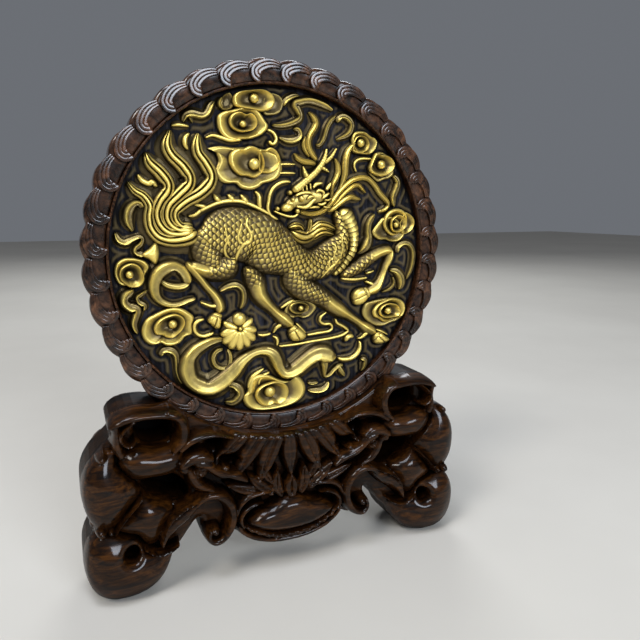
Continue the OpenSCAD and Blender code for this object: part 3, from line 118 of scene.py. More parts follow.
# Antler beam with its branch and prongs
ANTLERS = [
    [[8.4, 37.2, 4.4], [11.5, 38.6, 5.8], [15, 41.4, 5.4], [19, 44.6, 4.8], [23, 48, 4.4], [26.6, 52, 4.2],
     [29.2, 56.4, 3.6], [30.8, 62.5, 1.6]],
    [[28.4, 54, 3.6], [31.2, 55.6, 3.2], [33.9, 58, 2.8], [37.4, 63, 1.4]],
    [[18.6, 44.4, 4.8], [17, 47.4, 3.8], [15.5, 52, 1.2]],
    [[26.6, 51.6, 3.2], [29.4, 50.4, 2.8], [32.6, 48.6, 1.2]]]

# Mane: jaw ribbon, two lower locks and the upright locks behind the antlers
MANE = [
    [[13, 25.8, 2.4], [16, 24.8, 2.6], [20.5, 24.2, 2.8], [25.5, 25, 2.8], [30, 27.5, 3],
     [34, 31.5, 3], [38.5, 37, 3], [43, 41.3, 3], [48, 44.5, 3], [53, 45.8, 3], [57.5, 45.5, 3],
     [61, 43.3, 3], [64, 40, 3], [66.3, 36.8, 3], [69.3, 34, 3], [72, 31.5, 2.8],
     [72.5, 28.8, 2.4], [70, 26.6, 2.2], [66, 25.3, 1.6]],
    [[57.5, 36.5, 1], [54.5, 39, 2], [52, 41.2, 2.4], [48.5, 41, 2.6], [45, 38.8, 2.6],
     [41, 35.3, 2.6], [37.5, 31.3, 2.4], [34, 28.5, 2.2]],
    [[54, 32.8, 1], [50, 33.4, 2.4], [46.5, 34.3, 3], [42.5, 32.8, 3], [38.5, 29.9, 2.8],
     [34.5, 27, 2.6], [31, 25.8, 2]],
    [[36, 57, 1.2], [37.7, 53, 3], [38, 49, 3.4], [36.5, 45, 3.2], [34.5, 41, 2.6], [34, 36, 2.2],
     [33.2, 31.5, 2]],
    [[50.2, 66.6, 1.4], [47, 64.2, 2.6], [44.3, 61, 3.4], [43, 57, 3.8], [42.5, 52.5, 4],
     [42.3, 48, 3.8], [41.4, 44, 3.2], [40, 40.5, 2.4], [38.2, 36.8, 2]]]

# Forehead tufts that sweep up and left of the antlers
FORELOCK = [
    [[19.3, 82.5, 1], [22.5, 79, 3], [23.3, 76, 3.4], [22, 73, 3.2], [20, 70, 3], [18.8, 66, 3],
     [19.3, 62, 3.2], [21.7, 58, 3], [24.8, 55, 2]],
    [[17.5, 69, 1], [16, 65, 2.4], [17, 61, 2.6], [20, 57, 1.8]],
    [[10, 59, 1], [12.5, 56, 2.8], [16, 54.4, 3.2], [20.4, 53.9, 3], [24, 53.1, 2]]]

# Long feeler that loops down in front of the snout
FEELER = [
    [[8.2, 42.6, 1.4], [4.5, 42.8, 2], [0.5, 41.6, 2.2], [-3, 39, 2.2], [-5, 35.5, 2.2],
     [-6, 31, 2.2], [-6.5, 27.5, 2.2], [-5.2, 24, 2], [-2.6, 22, 2], [0, 21, 1.2]]]

# Chin beard that streams back towards the neck
BEARD = [
    [[7.6, 14.4, 2], [10.5, 12, 4.4], [14.5, 10.6, 5.4], [18.6, 11, 4.6], [22, 13, 3.6], [25.4, 15, 3.2],
     [28.4, 15.4, 3], [31.4, 14.2, 1.4]],
    [[17, 10.4, 2], [21.4, 10.6, 3], [25.4, 12.4, 3], [29, 13.2, 2.8], [33, 12.4, 2.2], [36, 11.4, 1.2]],
    [[19.4, 14, 2], [22.4, 16, 2.8], [26, 18, 3], [30.4, 17.4, 3], [34.4, 15.8, 2.4], [37, 14.6, 1.4]],
    [[6, 16, 1.2], [10, 17.2, 3], [13.5, 16.5, 2.6], [16, 13.5, 2]],
    [[20.3, 21.6, 1.4], [20.2, 19, 2.2], [19.8, 15.5, 2.2], [18, 12, 2]]]

# Body from rump to neck, drawn along its spine
TORSO = [
    [[-48.5, 14.5, 8], [-45, 13.5, 18], [-38, 13.5, 26], [-30, 13.5, 31], [-22, 12.5, 32],
     [-14, 10.5, 32], [-6, 5, 33], [1, 1.5, 29], [8, -2.5, 23], [15, -6, 20], [22, -6.5, 20],
     [29, -4, 21], [35, 1.5, 19], [39.5, 8, 13], [41.5, 13, 6]],
    [[30, -7, 12], [35.4, -2, 15], [39, 4, 13.5], [40.6, 10, 11], [40, 16, 9], [38.4, 21.6, 7],
     [36.6, 26, 5]]]

# Flame curls that ride on the hip and on the shoulder
BODY_FLAMES = [
    [[-27, -6, 1.6], [-26.5, -1, 2.6], [-25.2, 3.5, 2.6], [-22.5, 7.2, 2.6], [-19.5, 8.5, 2.6],
     [-18, 11.5, 2.4], [-19, 15, 2.4], [-20.7, 18.5, 2.2], [-19.5, 22.5, 1]],
    [[-22.5, 7.2, 2.4], [-25, 9, 2.2], [-25.7, 12, 2.2], [-24.7, 15, 2], [-23.5, 19.5, 1]],
    [[-26.5, -1, 2.4], [-30, -1, 2.2], [-32.7, 1.5, 2.2], [-33.5, 6, 2], [-31.7, 9.5, 2],
     [-32.7, 13.5, 1.8], [-33, 17, 1]],
    [[40, 13.2, 1], [38.9, 9, 2], [39.4, 3, 2.2], [38, -1.6, 2.2], [35, -5.6, 2.4], [31, -8.8, 2.4],
     [28, -12, 2], [26, -14.6, 1]],
    [[33.3, 7, 1], [35, 3.5, 2], [33.8, -0.5, 2], [36, -4, 2]],
    [[31.5, -2.5, 1], [30.2, -5.5, 1.8], [31, -8.5, 2]]]

# Band of belly plates that climbs the neck
NECK_PLATES = [
    [[39.6, 27, 8.4], [42.4, 22.8, 10], [45, 18.4, 9.6], [47, 14, 8.6], [48, 9, 7], [48, 4, 6], [47, 0, 5.4],
     [43.8, -4.4, 5], [40, -9, 4.4], [35, -13, 3]]]

# Spiked crest along the back, with the fin on the rump
BACK_CREST = [
    [[-46.5, 25.8, 2], [-42, 28, 2.2], [-36, 30.4, 2.2], [-29, 31.6, 2.2], [-22, 31.2, 2.2],
     [-15, 28.8, 2.2], [-8, 25.4, 2], [-3, 22.6, 1.2]],
    [[-38.5, 35.7, 1], [-36.5, 33, 2.6], [-34, 30.8, 2]],
    [[-30, 35.4, 1], [-28, 33, 2.8], [-26, 31.4, 2]],
    [[-22.5, 35.4, 1], [-20.4, 32.4, 2.8], [-18, 30, 2]],
    [[-14, 37.4, 1], [-11.8, 34.5, 2.4], [-11.6, 30.5, 2.6], [-11, 26.8, 2]],
    [[-49.5, 29.6, 1], [-45.6, 29, 2.2], [-42, 28, 2]],
    [[-45.2, 27.2, 2], [-47, 25.2, 2.2], [-49.6, 23.6, 2], [-53, 23.2, 1]]]

# Legs: strands with the length that is scaled, hooves as outlines, small strands
LEFT_HIND_LEG = [
    [([[-46.6, 16, 7], [-45.6, 10, 14], [-43.4, 3.6, 17], [-40, -2.4, 16], [-36, -7, 9]], 40),
     ([[-26.4, -1, 13], [-32, -5.4, 14], [-38, -7, 12.4], [-44, -6.8, 10], [-49.5, -5.2, 8],
       [-53.6, -3.4, 5.6]], 18),
     ([[-54.8, -2, 4.4], [-53, -4.4, 6.8], [-50, -7.8, 6], [-46.4, -12.4, 4.9], [-43.2, -16.9, 4.6],
       [-40, -20.6, 5], [-37.4, -24.8, 6], [-36.5, -28.8, 6.8], [-37.6, -32.4, 5.4]], 0)],
    [[[-44, -36], [-41.6, -32.6], [-38.4, -31.6], [-35.6, -33.2], [-36.2, -37], [-37, -40.6], [-39.4, -41],
      [-42, -38.6]]],
    [[[-37.6, -27.8, 3.2], [-41, -27.8, 2.8], [-44, -26.8, 2.2], [-47.6, -25, 1.2]]]]
RIGHT_HIND_LEG = [
    [([[-21.6, -6, 5], [-18, -10, 9.4], [-15.2, -14.4, 11.8], [-13.6, -18.6, 11], [-12.6, -22.4, 10],
       [-9.8, -26.4, 8.6], [-5.5, -31, 6.4], [-1.5, -35, 6.4], [3, -38.8, 8.6], [6.6, -42, 6.8],
       [8, -44, 5]], 13)],
    [[[5.4, -45.6], [8.4, -42.6], [12.2, -44.6], [16.8, -49.6], [13.4, -52.4], [8, -52.2], [5.8, -49.4]]],
    [[[1.4, -41.4, 3.2], [-2.2, -43.6, 2.6], [-4.4, -47, 1.2]],
     [[10.4, -41.6, 1.4], [13.4, -44.8, 2.2], [17, -48.6, 1.4]]]]
RAISED_FORELEG = [
    [([[40, -14, 5], [45.6, -11.6, 8], [51.6, -8.6, 9.2], [57.4, -5, 9], [63, -2, 8], [68.6, 0.2, 7.2],
       [73.4, 0.8, 7], [76, -1, 5.6]], 24),
     ([[75.6, 2, 5.4], [74.4, -3.6, 6.8], [71.8, -9, 5.6], [69.8, -14.2, 5.4], [67.8, -18.7, 6.4],
       [65.2, -22.2, 7.8], [61.4, -24.2, 6.4], [57.6, -25.6, 5]], 0)],
    [[[49, -25], [52.4, -22.4], [58, -22], [61.6, -25.4], [58.6, -29.6], [54.4, -32.6], [50.2, -32.6],
      [48.4, -29]]],
    [[[64.4, -21.4, 3.2], [61, -19.4, 2.8], [57.2, -18, 1.2]]]]
STRETCHED_FORELEG = [
    [([[4.6, -7.4, 12], [9.6, -14, 16.4], [15.4, -20.4, 15], [22, -23.8, 12.8], [29, -27.8, 10.4],
       [36, -33, 9.8], [41, -36.2, 8.6], [45.6, -39.1, 6], [50.2, -42.2, 5.1], [54.7, -45.4, 5.3],
       [59, -48.4, 7.4], [63, -50.6, 6.6], [65.4, -52.4, 5]], 35)],
    [[[63.4, -54.3], [65.4, -51.8], [68.8, -51.8], [71.8, -54.2], [75.4, -57.2], [72, -59], [66.5, -59.4],
      [64, -58]]],
    [[[60, -50.6, 3.4], [57.6, -52.6, 3], [55.4, -54.3, 2.2], [52.6, -54.8, 1.2]],
     [[65.6, -49.8, 1.4], [70.4, -51.8, 2.2], [75, -54.4, 1.2]]]]

# Lobes of the ribboned ball, which spread from its knot
BALL = [
    [[-27, -42.6, 3], [-31.6, -43.6, 5.4], [-37, -45, 3.4]],
    [[-26.8, -42.8, 3], [-31.6, -46.6, 6], [-35.6, -50.6, 3.4]],
    [[-26.2, -43, 3], [-29.2, -48.8, 6.2], [-31.2, -54.2, 3.6]],
    [[-25.6, -43, 3], [-25.6, -49.4, 6.2], [-25.8, -55.6, 3.6]],
    [[-25, -43, 3], [-22, -48.8, 6], [-20, -54, 3.4]],
    [[-24.4, -42.6, 3], [-19.8, -46.2, 5.8], [-15.6, -50, 3.4]],
    [[-24.2, -42, 3], [-19.4, -42.8, 5.2], [-14.6, -44, 3]],
    [[-24.8, -41.4, 2], [-20.6, -39.4, 4], [-16.8, -36.6, 2]],
    [[-26.6, -41.6, 2], [-31.6, -39.8, 4.4], [-35.4, -37.2, 2]]]

# Clouds: boss as across, up, radius; dishes from low to high as middle, floor, top, outline; loose strands
TOP_CLOUD = [[-13.6, 87.7, 2.8], [
    [[-3, 86], 0.6, 1.9, [[-8, 80], [-3, 79.4], [1.4, 80.8], [3.6, 84], [3.8, 88], [1, 90.8], [-4, 91.4],
                          [-8, 88]]],
    [[-29, 85], 0.6, 2.2, [[-33, 84.6], [-32.4, 81], [-29.4, 80.4], [-26, 82], [-25, 86], [-27, 90],
                           [-30.6, 88.8]]],
    [[-13.6, 87.7], 1.0, 4.8, [[-26.4, 86.4], [-25, 89.4], [-21, 91.2], [-16, 92], [-10, 92.8], [-6, 92.2],
                               [-2.6, 90], [-1.4, 86.8], [-2.8, 83.4], [-6, 81.4], [-10, 80.6], [-16, 81.2],
                               [-22, 81.8], [-25.6, 83.2]]]], []]
SCROLL_CLOUD = [[-20.6, 73.6, 2.2], [
    [[-20.6, 73.6], 1.0, 3.6, [[-35.2, 74], [-34.6, 77.6], [-31.4, 79.8], [-26.4, 81], [-22, 82.6],
                               [-17, 83.6], [-12.2, 82.2], [-9.4, 79.4], [-7.4, 76.4], [-5.4, 73.4],
                               [-7.2, 70.2], [-11, 67.6], [-16.6, 65.6], [-23, 65], [-27, 64.4], [-31, 65.8],
                               [-34.2, 69.6]]],
    [[-20.6, 73.6], 1.0, 5.0, [[-28.8, 75.4], [-26.8, 78.8], [-22.4, 80.2], [-18.6, 79], [-15.4, 79.8],
                               [-12.4, 77], [-12.2, 73.4], [-14.8, 70.6], [-19.6, 69.2], [-24, 69.4],
                               [-27.8, 71.6]]]],
    [[[-21, 65.4, 2.4], [-28, 64.8, 3], [-33, 66, 2.8], [-37.5, 66.9, 2.2], [-41.8, 65.4, 1]],
     [[-6.4, 71.6, 1.8], [-2.7, 70, 2.2], [-0.9, 67, 2.6], [-1.6, 64.6, 3], [-3.6, 63.8, 3],
      [-5.4, 65.4, 2.4]]]]
LARGE_CLOUD = [[-14.2, 52.2, 3.6], [
    [[-18, 50], 0.8, 2.8, [[-40.6, 60], [-37, 58.6], [-35, 54], [-36.4, 50], [-38, 47], [-35, 43],
                           [-31, 41.2], [-25.4, 41.2], [-22.4, 38.8], [-17, 37.6], [-12, 39], [-9, 41.2],
                           [-4, 42.6], [0.6, 45], [3, 50], [1, 57], [-6, 60], [-16, 61.6], [-26, 61],
                           [-34, 61.6]]],
    [[-5.6, 54.4], 1.0, 4.0, [[-12, 60], [-8, 60.4], [-4.6, 61.8], [-1.2, 60.4], [1, 57], [1.2, 53],
                              [-1, 49.4], [-4.6, 47.2], [-8, 47], [-12, 48], [-12, 54]]],
    [[-14.2, 52.2], 1.0, 5.0, [[-29.4, 53], [-28.6, 57.6], [-25, 60.2], [-21, 60.6], [-17, 62.2],
                               [-12.6, 61.2], [-9.6, 57.8], [-8.4, 53], [-9.2, 48.6], [-11.6, 45.8],
                               [-15, 44.2], [-19, 45.2], [-23, 45.6], [-27, 48.4]]]],
    [[[-1, 52.4, 1.4], [6, 52.7, 1.8], [11.2, 52.7, 1]], [[-1.8, 47.5, 1.4], [6, 47.7, 1.8],
                                                          [11.2, 47.6, 1]]]]
MANE_CLOUD = [[52.8, 66.3, 2.6], [
    [[54.6, 66], 0.8, 3.0, [[49, 72.6], [55.6, 73.2], [60, 70.6], [62.6, 69.8], [64.6, 67.4], [63.6, 63.4],
                            [61, 60.6], [58, 59.6], [52, 60], [48, 63], [46.6, 68]]],
    [[52.8, 66.3], 0.8, 3.8, [[47, 61.4], [50, 60], [54, 60.2], [57.6, 62.4], [58.8, 66], [56.8, 69.6],
                              [53, 70.8], [49.4, 69.6], [47.4, 66]]]], []]
UPPER_RIGHT_CLOUD = [[67, 54, 2.9], [
    [[67, 53], 0.6, 2.2, [[61, 46.2], [65.2, 43.4], [69.6, 44.8], [73.6, 45.8], [76.6, 48.4], [76.4, 54],
                          [74, 58], [70, 61], [66, 61.8], [61.6, 60], [59, 54], [58.6, 49.4]]],
    [[67, 54], 1.0, 5.0, [[58, 51.6], [59.4, 48.8], [63.6, 47], [68, 46.8], [72.2, 48.2], [75.4, 51],
                          [76.4, 54.4], [74.2, 57.8], [70.6, 59.6], [66.6, 59.8], [62.6, 60.8], [60.4, 57.6],
                          [59, 54.6]]]],
    [[[61, 57.2, 1.8], [54.7, 57.3, 2.2], [51, 56.3, 2.2], [48.9, 53.6, 2], [49.6, 50.8, 1.8],
      [50.8, 49, 1.2]]]]
RIGHT_CLOUD = [[78.2, 17.2, 2.2], [
    [[74, 13], 0.8, 2.8, [[61.6, 13], [63.4, 9.8], [67, 7.8], [71, 7.9], [75, 6.5], [80, 6.4], [83.6, 8.2],
                          [85.6, 11.4], [84, 16], [78, 22], [70, 22], [65.4, 18]]],
    [[85.6, 17.6], 0.8, 3.6, [[84, 24.6], [88, 24.2], [91.2, 21.6], [92.2, 18], [90.6, 14.2], [87, 11.4],
                              [83, 11.2], [80.6, 17]]],
    [[78.2, 17.2], 0.8, 4.0, [[69, 18.6], [70.4, 22.8], [73.6, 26], [78.4, 27.4], [82.8, 26.6], [85.8, 24],
                              [86.6, 20], [86, 16], [83, 13], [79, 10.8], [75.2, 10.4], [71.8, 12.6],
                              [69.6, 15.6]]],
    [[78.2, 17.2], 1.2, 5.0, [[74, 19.6], [76.2, 22.2], [80, 23.6], [84, 22], [85.8, 18.6], [84.8, 15.2],
                              [81.6, 12.8], [77.4, 12.2], [74.4, 14.4]]]], []]
LOWER_RIGHT_CLOUD = [[73.8, -37.9, 2.7], [
    [[72, -38.6], 0.6, 2.2, [[55.6, -37], [57.6, -32.2], [63, -30.8], [70, -29.8], [80, -29.8], [86.2, -32.8],
                             [88.2, -37.4], [86.6, -42], [82, -45.2], [76, -46.6], [71, -48.2], [65, -47.6],
                             [60, -44.8], [56.6, -41]]],
    [[74.6, -37.8], 0.8, 3.8, [[62.6, -37.6], [65.8, -33.4], [71, -31], [76, -29.6], [81.8, -30.6],
                               [86, -33.2], [87.2, -37.4], [85.6, -41.4], [82, -43.6], [76.6, -43.8],
                               [73.4, -45.6], [70, -45], [67.4, -43], [63.8, -41.4]]],
    [[73.8, -37.9], 1.0, 4.8, [[66.6, -38], [68.8, -34.4], [73, -32.8], [77.8, -33.2], [81.2, -34.8],
                               [83.2, -38.4], [81.6, -41.8], [77, -42.6], [73, -42.8], [68.8, -41.6]]]], []]
SMALL_CLOUD = [[13.3, -32.4, 1.8], [
    [[13, -32.6], 0.6, 2.4, [[2.8, -35], [6, -37.6], [8.4, -38.4], [11.8, -37.8], [15.4, -39], [19.4, -38],
                             [22.8, -35], [24.2, -32], [21, -29.4], [15, -27.8], [9, -27.4], [4.6, -30]]],
    [[13.3, -32.4], 0.8, 3.6, [[5.6, -32], [7, -29.4], [11, -28.4], [16, -29.2], [18.8, -31.6], [17.8, -34.2],
                               [14, -35.8], [10, -35.8], [7, -34.4]]]],
    [[[0.4, -32, 1.4], [4.6, -29.4, 2.4], [7.6, -27.8, 2.2], [9.8, -27.4, 1]]]]
LEFT_CLOUD = [[-85.5, -7.7, 2.3], [
    [[-84.6, -6.6], 0.8, 3.2, [[-93.2, -9], [-93.4, -5], [-91.8, -1.2], [-88.4, 1], [-84.4, 1.4],
                               [-79.6, 0.6], [-76.2, -1.2], [-74.8, -4], [-77, -8], [-80, -13], [-86, -13.8],
                               [-90.8, -13.2]]],
    [[-85.5, -7.7], 1.0, 4.6, [[-90.8, -6], [-88.8, -3], [-84.4, -1.4], [-80.2, -3.2], [-78, -7.4],
                               [-77.8, -11.4], [-80.4, -14.6], [-84.6, -15], [-87.8, -13.4], [-90.6, -10]]]],
                               []]
LOWER_LEFT_CLOUD = [[-63.8, -36.6, 2.7], [
    [[-66, -38], 0.8, 3.4, [[-51.6, -33.4], [-55, -29.8], [-59, -27.4], [-63, -26.8], [-68, -27.8],
                            [-74, -30.4], [-78.2, -32.8], [-80.6, -37], [-81, -42], [-78.8, -46.2],
                            [-75, -48], [-71, -47.2], [-68, -48.8], [-64, -49.2], [-60, -47.8], [-57, -44.6],
                            [-53, -43], [-52.8, -38]]],
    [[-63.8, -36.6], 1.0, 4.8, [[-57.8, -33], [-56.8, -36.4], [-58.2, -39.8], [-61, -42.6], [-64.4, -44.6],
                                [-67.6, -44], [-70, -42.4], [-73.6, -41.6], [-74.4, -37.6], [-71.8, -33.6],
                                [-67, -31.2], [-62, -30.6]]]], []]
BOTTOM_CLOUD = [[-7.2, -82.8, 3.7], [
    [[-6, -84], 0.8, 3.6, [[-24.2, -84], [-21.4, -81], [-20.8, -76], [-18.6, -72.4], [-14, -71], [-8, -72],
                           [0, -76], [6, -77], [11, -74.8], [14.8, -78.4], [16.6, -83], [15.6, -88],
                           [11.6, -91.6], [5, -93.8], [-4, -94.8], [-13, -94.6], [-19.6, -92.8],
                           [-23.6, -88.6]]],
    [[-7.2, -82.8], 1.0, 5.0, [[-17, -85], [-16.2, -81], [-13, -78.2], [-8.6, -76.8], [-3.6, -76.2],
                               [1.6, -77.6], [4.4, -81], [5, -85], [3.2, -89.2], [-1, -91.6], [-5, -90.6],
                               [-9.6, -91.8], [-14.2, -89.8]]]],
    [[[-20.6, -80, 1.8], [-20.1, -76.5, 2.6], [-18.3, -72.9, 3.2], [-14.9, -70.4, 3], [-10.2, -67.9, 1.4]],
     [[-14.2, -78.4, 1.8], [-13.4, -74.8, 2.6], [-11, -72.4, 2.8], [-6.6, -70.6, 1.4]]]]

# Ribbons
LEFT_RIBBON = [
    [[-54, -14.6, 4], [-54.9, -10.6, 4.4], [-57.4, -6.4, 4.6], [-61.4, -4.2, 5], [-66.2, -4.9, 5.8],
     [-70.3, -7.8, 5.8], [-72.6, -12.4, 5.4], [-72.9, -16.9, 4.8], [-71.4, -21.3, 3.8], [-68.2, -24.2, 3],
     [-63.6, -25.8, 2.6], [-59, -25.4, 2.4], [-55, -24, 2.2], [-50, -22.8, 1.4]],
    [[-69.4, -11.8, 2], [-65.6, -14.4, 3], [-60.6, -15.6, 3.2], [-56.4, -15.2, 3], [-53.4, -13.6, 2]]]
MIDDLE_RIBBON = [
    [[-36.4, -19.4, 1.6], [-31, -16.8, 2.6], [-26.5, -16.3, 2.8], [-23.2, -18.5, 2.8], [-21.9, -22, 2.8],
     [-22.3, -26.5, 2.6], [-24.2, -31, 1.4]]]
BOTTOM_RIBBON = [
    [[-34.5, -47.7, 2], [-40.9, -48, 3.6], [-46.4, -49.8, 4.6], [-51.6, -52.6, 5.6], [-55.2, -56.4, 6.2],
     [-56.7, -60.6, 7], [-56.7, -64.9, 7.4], [-55.3, -69.7, 7.2], [-51.8, -73.3, 7.4], [-47.5, -75.5, 7.6],
     [-42.7, -75.9, 7.8], [-37.9, -74, 7.8], [-33.6, -70.8, 7.6], [-29.4, -67.2, 7], [-24.9, -62.4, 5.8],
     [-19.2, -58.7, 4.4], [-13.7, -57, 4], [-8.6, -57.2, 4.8], [-5, -59.6, 6], [-2.7, -63.8, 6],
     [-0.8, -68.4, 5.2], [2.4, -71.8, 5.8], [6.4, -71.8, 7], [11, -69.9, 7.4], [15.5, -66.7, 7.6],
     [20, -63.9, 7.8], [25, -62.4, 8.6], [29.6, -63.2, 9], [33.7, -64.6, 6.4], [38, -64.9, 1.4]],
    [[28.5, -66, 5], [29.3, -70, 4], [29.4, -74, 2.6], [30, -77.4, 1.6], [33, -76.6, 2], [36, -73.6, 2.2],
     [39.5, -71.4, 2.2], [43, -71.4, 1]],
    [[39, -71.6, 2], [41.3, -75.8, 2.8], [44.2, -79, 1]],
    [[-35, -53.8, 1.4], [-38.5, -54.4, 2], [-40.9, -57, 2.2], [-41.3, -60.5, 2.2], [-39.5, -63.8, 2.2],
     [-36, -65.4, 2.2], [-32.4, -64.6, 2.2], [-31, -61, 2], [-31.2, -57, 1.8], [-32.5, -54, 1]]]
RIGHT_RIBBON = [
    [[64.2, 23.8, 1.2], [61.3, 21.3, 3], [59.3, 17.5, 3.4], [58.8, 13, 3.6], [59.2, 9.3, 4.2], [57.8, 5.2, 5],
     [55.2, 2, 4], [52, -0.6, 1.2]]]
SIDE_RIBBON = [
    [[75.8, 47.8, 2], [78.6, 45, 3.2], [79, 42, 3.8], [77.8, 38.5, 3.8], [76.3, 35, 3.6], [76.5, 31, 3],
     [78, 28.3, 1.6]]]

# Wisps round the edge of the field
UPPER_LEFT_WISPS = [
    [[-53.6, 73, 1], [-52, 76.3, 3], [-48.5, 77.6, 3.6], [-43.3, 77, 3.4], [-40.2, 78.6, 3],
     [-38.2, 82.4, 2.8], [-36, 85.2, 1.2]],
    [[-50, 76.4, 2.4], [-48, 73, 1]],
    [[-31.3, 87.5, 1.4], [-32.8, 84, 3], [-31.3, 80.9, 1.4]]]
UPPER_WISPS = [
    [[3.5, 84.8, 1.6], [5.5, 88, 2.6], [9.5, 90.4, 2.4], [14, 91.2, 1]],
    [[35, 84, 1], [30, 86.3, 2.6], [24, 88.1, 3], [19, 88.7, 3], [14.2, 87.7, 3.2], [10.8, 86, 3.6],
     [12.6, 83, 3.4], [13.7, 80, 3.2], [12.5, 77.5, 2.8], [8, 75.3, 2.4], [2.5, 74, 2], [-3, 73.8, 1]],
    [[1, 67.6, 1.2], [5, 66, 2.6], [9.5, 66, 3], [13, 67.7, 2.8], [13.7, 70.4, 2.4], [12.2, 72.4, 2.2],
     [10, 72.5, 1.2]]]
UPPER_RIGHT_WISPS = [
    [[37, 81, 1.2], [33.7, 78.4, 2], [31.2, 74.5, 2.2], [29.7, 70, 2.2], [28.2, 66.6, 2], [26, 64.2, 1.8],
     [24, 64.4, 1]],
    [[37.4, 77.5, 2], [38.5, 79.7, 2.8], [41.3, 81, 3], [44.7, 79.8, 3], [46.9, 77, 3], [46.4, 73.4, 2.8],
     [44, 70.7, 2.6], [40, 68.8, 1.6], [37.2, 67.6, 1.2]]]
RIGHT_WISPS = [
    [[80.5, -1, 2], [80.3, 2.2, 2.6], [82.8, 4.7, 2.6], [86.3, 5.4, 2.6], [89.6, 3.9, 2.8], [91.8, 0.5, 2.8],
     [92.4, -4, 2.8], [91.6, -9, 2.6], [90.1, -13.5, 2.2], [87.5, -18.3, 1.2]],
    [[74.8, -11.5, 1.4], [79.3, -12.5, 3.4], [82.6, -16, 4.4], [83.6, -20.5, 4.2], [82.4, -25, 2]],
    [[77.5, -16, 1], [78.6, -20, 1.8], [76, -23.5, 1.8], [70, -25.7, 1]]]
LEFT_WISPS = [
    [[-76.5, 27.3, 1.6], [-77.9, 29.6, 3], [-80.4, 29.8, 3.4], [-82.9, 28, 3.8], [-84.5, 24.5, 4],
     [-84.4, 20, 3.6], [-82.3, 15.2, 1.2]],
    [[-91.6, 15, 1.2], [-90, 11, 3], [-86.5, 9.6, 3.4], [-82.7, 11.2, 2.4], [-79.4, 12.2, 2.2],
     [-77.9, 11, 2.2], [-78.8, 8.4, 2.2], [-81, 6.6, 2.4], [-81.7, 4.6, 2.4], [-80, 3.2, 2.8],
     [-77, 2.6, 3.4]]]
FLARE = [[-79, 2.6], [-75, 5.8], [-70.6, 9.6], [-69.2, 4.5], [-69.8, 0], [-71.6, -3], [-75, 0]]
LOWER_LEFT_WISPS = [
    [[-83.5, -16.2, 2], [-87.5, -19, 4.4], [-88.4, -22.8, 5], [-85.8, -25.8, 4.6], [-82.8, -27.3, 4],
     [-83.4, -30.7, 3.4], [-84.6, -34.5, 3], [-84.2, -38, 2.4], [-82.6, -41, 1.2]],
    [[-76, -16.6, 1], [-80, -19, 2], [-81.9, -20.7, 2.2], [-81.2, -23.3, 2.2], [-78.4, -25.3, 2.2],
     [-78.8, -28.5, 1]]]
HOOF_LOOP = [
    [[-45.5, -35.2, 1], [-49, -35.8, 1.8], [-51.5, -38, 2], [-51.4, -41.5, 2], [-49.2, -44.1, 2],
     [-46, -45, 2], [-42.5, -44.2, 1.8], [-40, -43.2, 1]]]
LEFT_HOOK = [
    [[-71.4, -55, 1.6], [-70.4, -52.6, 2.8], [-68, -51.4, 3.2], [-64.8, -52.2, 3.4], [-62.7, -55, 3],
     [-62.3, -59.5, 2.4], [-62.4, -64, 2], [-61.4, -68.5, 1.8], [-59.6, -72.4, 1]]]
LOWER_WISPS = [
    [[-34, -76.2, 1.6], [-30.4, -76.2, 3.4], [-27.6, -78.4, 5], [-26.4, -81.5, 5], [-27.6, -84.8, 4.6],
     [-31, -87, 3.4], [-35, -86.4, 1.6]],
    [[18, -85.2, 1.2], [22.5, -86, 2.8], [27.5, -85.9, 3], [30.8, -84.1, 2.6], [32.2, -81, 1.2]],
    [[18, -80.4, 1], [21.4, -81.2, 1.6], [25.4, -80.8, 1]],
    [[55, -68.3, 1.4], [57.5, -69.3, 2.8], [58.1, -72, 2.8], [57.2, -75, 2], [55.5, -77, 1]]]
LOWER_LOOP = [
    [[38.6, -66.4, 1.2], [42.5, -67.5, 2.4], [47.5, -67.3, 2.6], [51.5, -65.2, 2.6], [53.8, -62, 2.4],
     [54.3, -58.5, 1.8], [53.8, -56.4, 1]],
    [[43.8, -56.3, 1.4], [44.7, -54, 3], [47.3, -52.7, 2.8], [50, -53.6, 1.2]]]
GROUND_LINES = [
    [[-1, -55.2, 1.2], [10, -54.8, 1.6], [22, -53.8, 1.6], [33, -53, 1.6], [41.5, -51.6, 1.6],
     [45.3, -49.3, 1.6], [44, -47.3, 1.6], [41, -45.3, 1.6], [38, -43.5, 1.6], [36.8, -40.5, 1]],
    [[17.4, -49.7, 1.2], [25, -48.9, 1.6], [32.6, -48.2, 1.6], [34.5, -46, 1.6], [33, -43.8, 1.6],
     [29, -43.5, 1.6], [26.4, -41.5, 1.6], [27, -38.8, 1.6], [31, -35.8, 1]],
    [[-4.6, -48.6, 1], [-2.4, -49.8, 1.6], [-1.6, -52, 1.6], [-2.2, -55.2, 1]],
    [[-14.4, -46.6, 1], [-11, -47.4, 1.6], [-7, -47, 1.4], [-5.6, -46.2, 1]]]
LEG_FLAMES = [
    [[40.4, -15.4, 1], [44, -16, 1.8], [50.2, -16.4, 2], [59.3, -15.8, 1.2]],
    [[57.5, -13, 1], [60.5, -12.4, 1.6], [64, -11.6, 1]]]

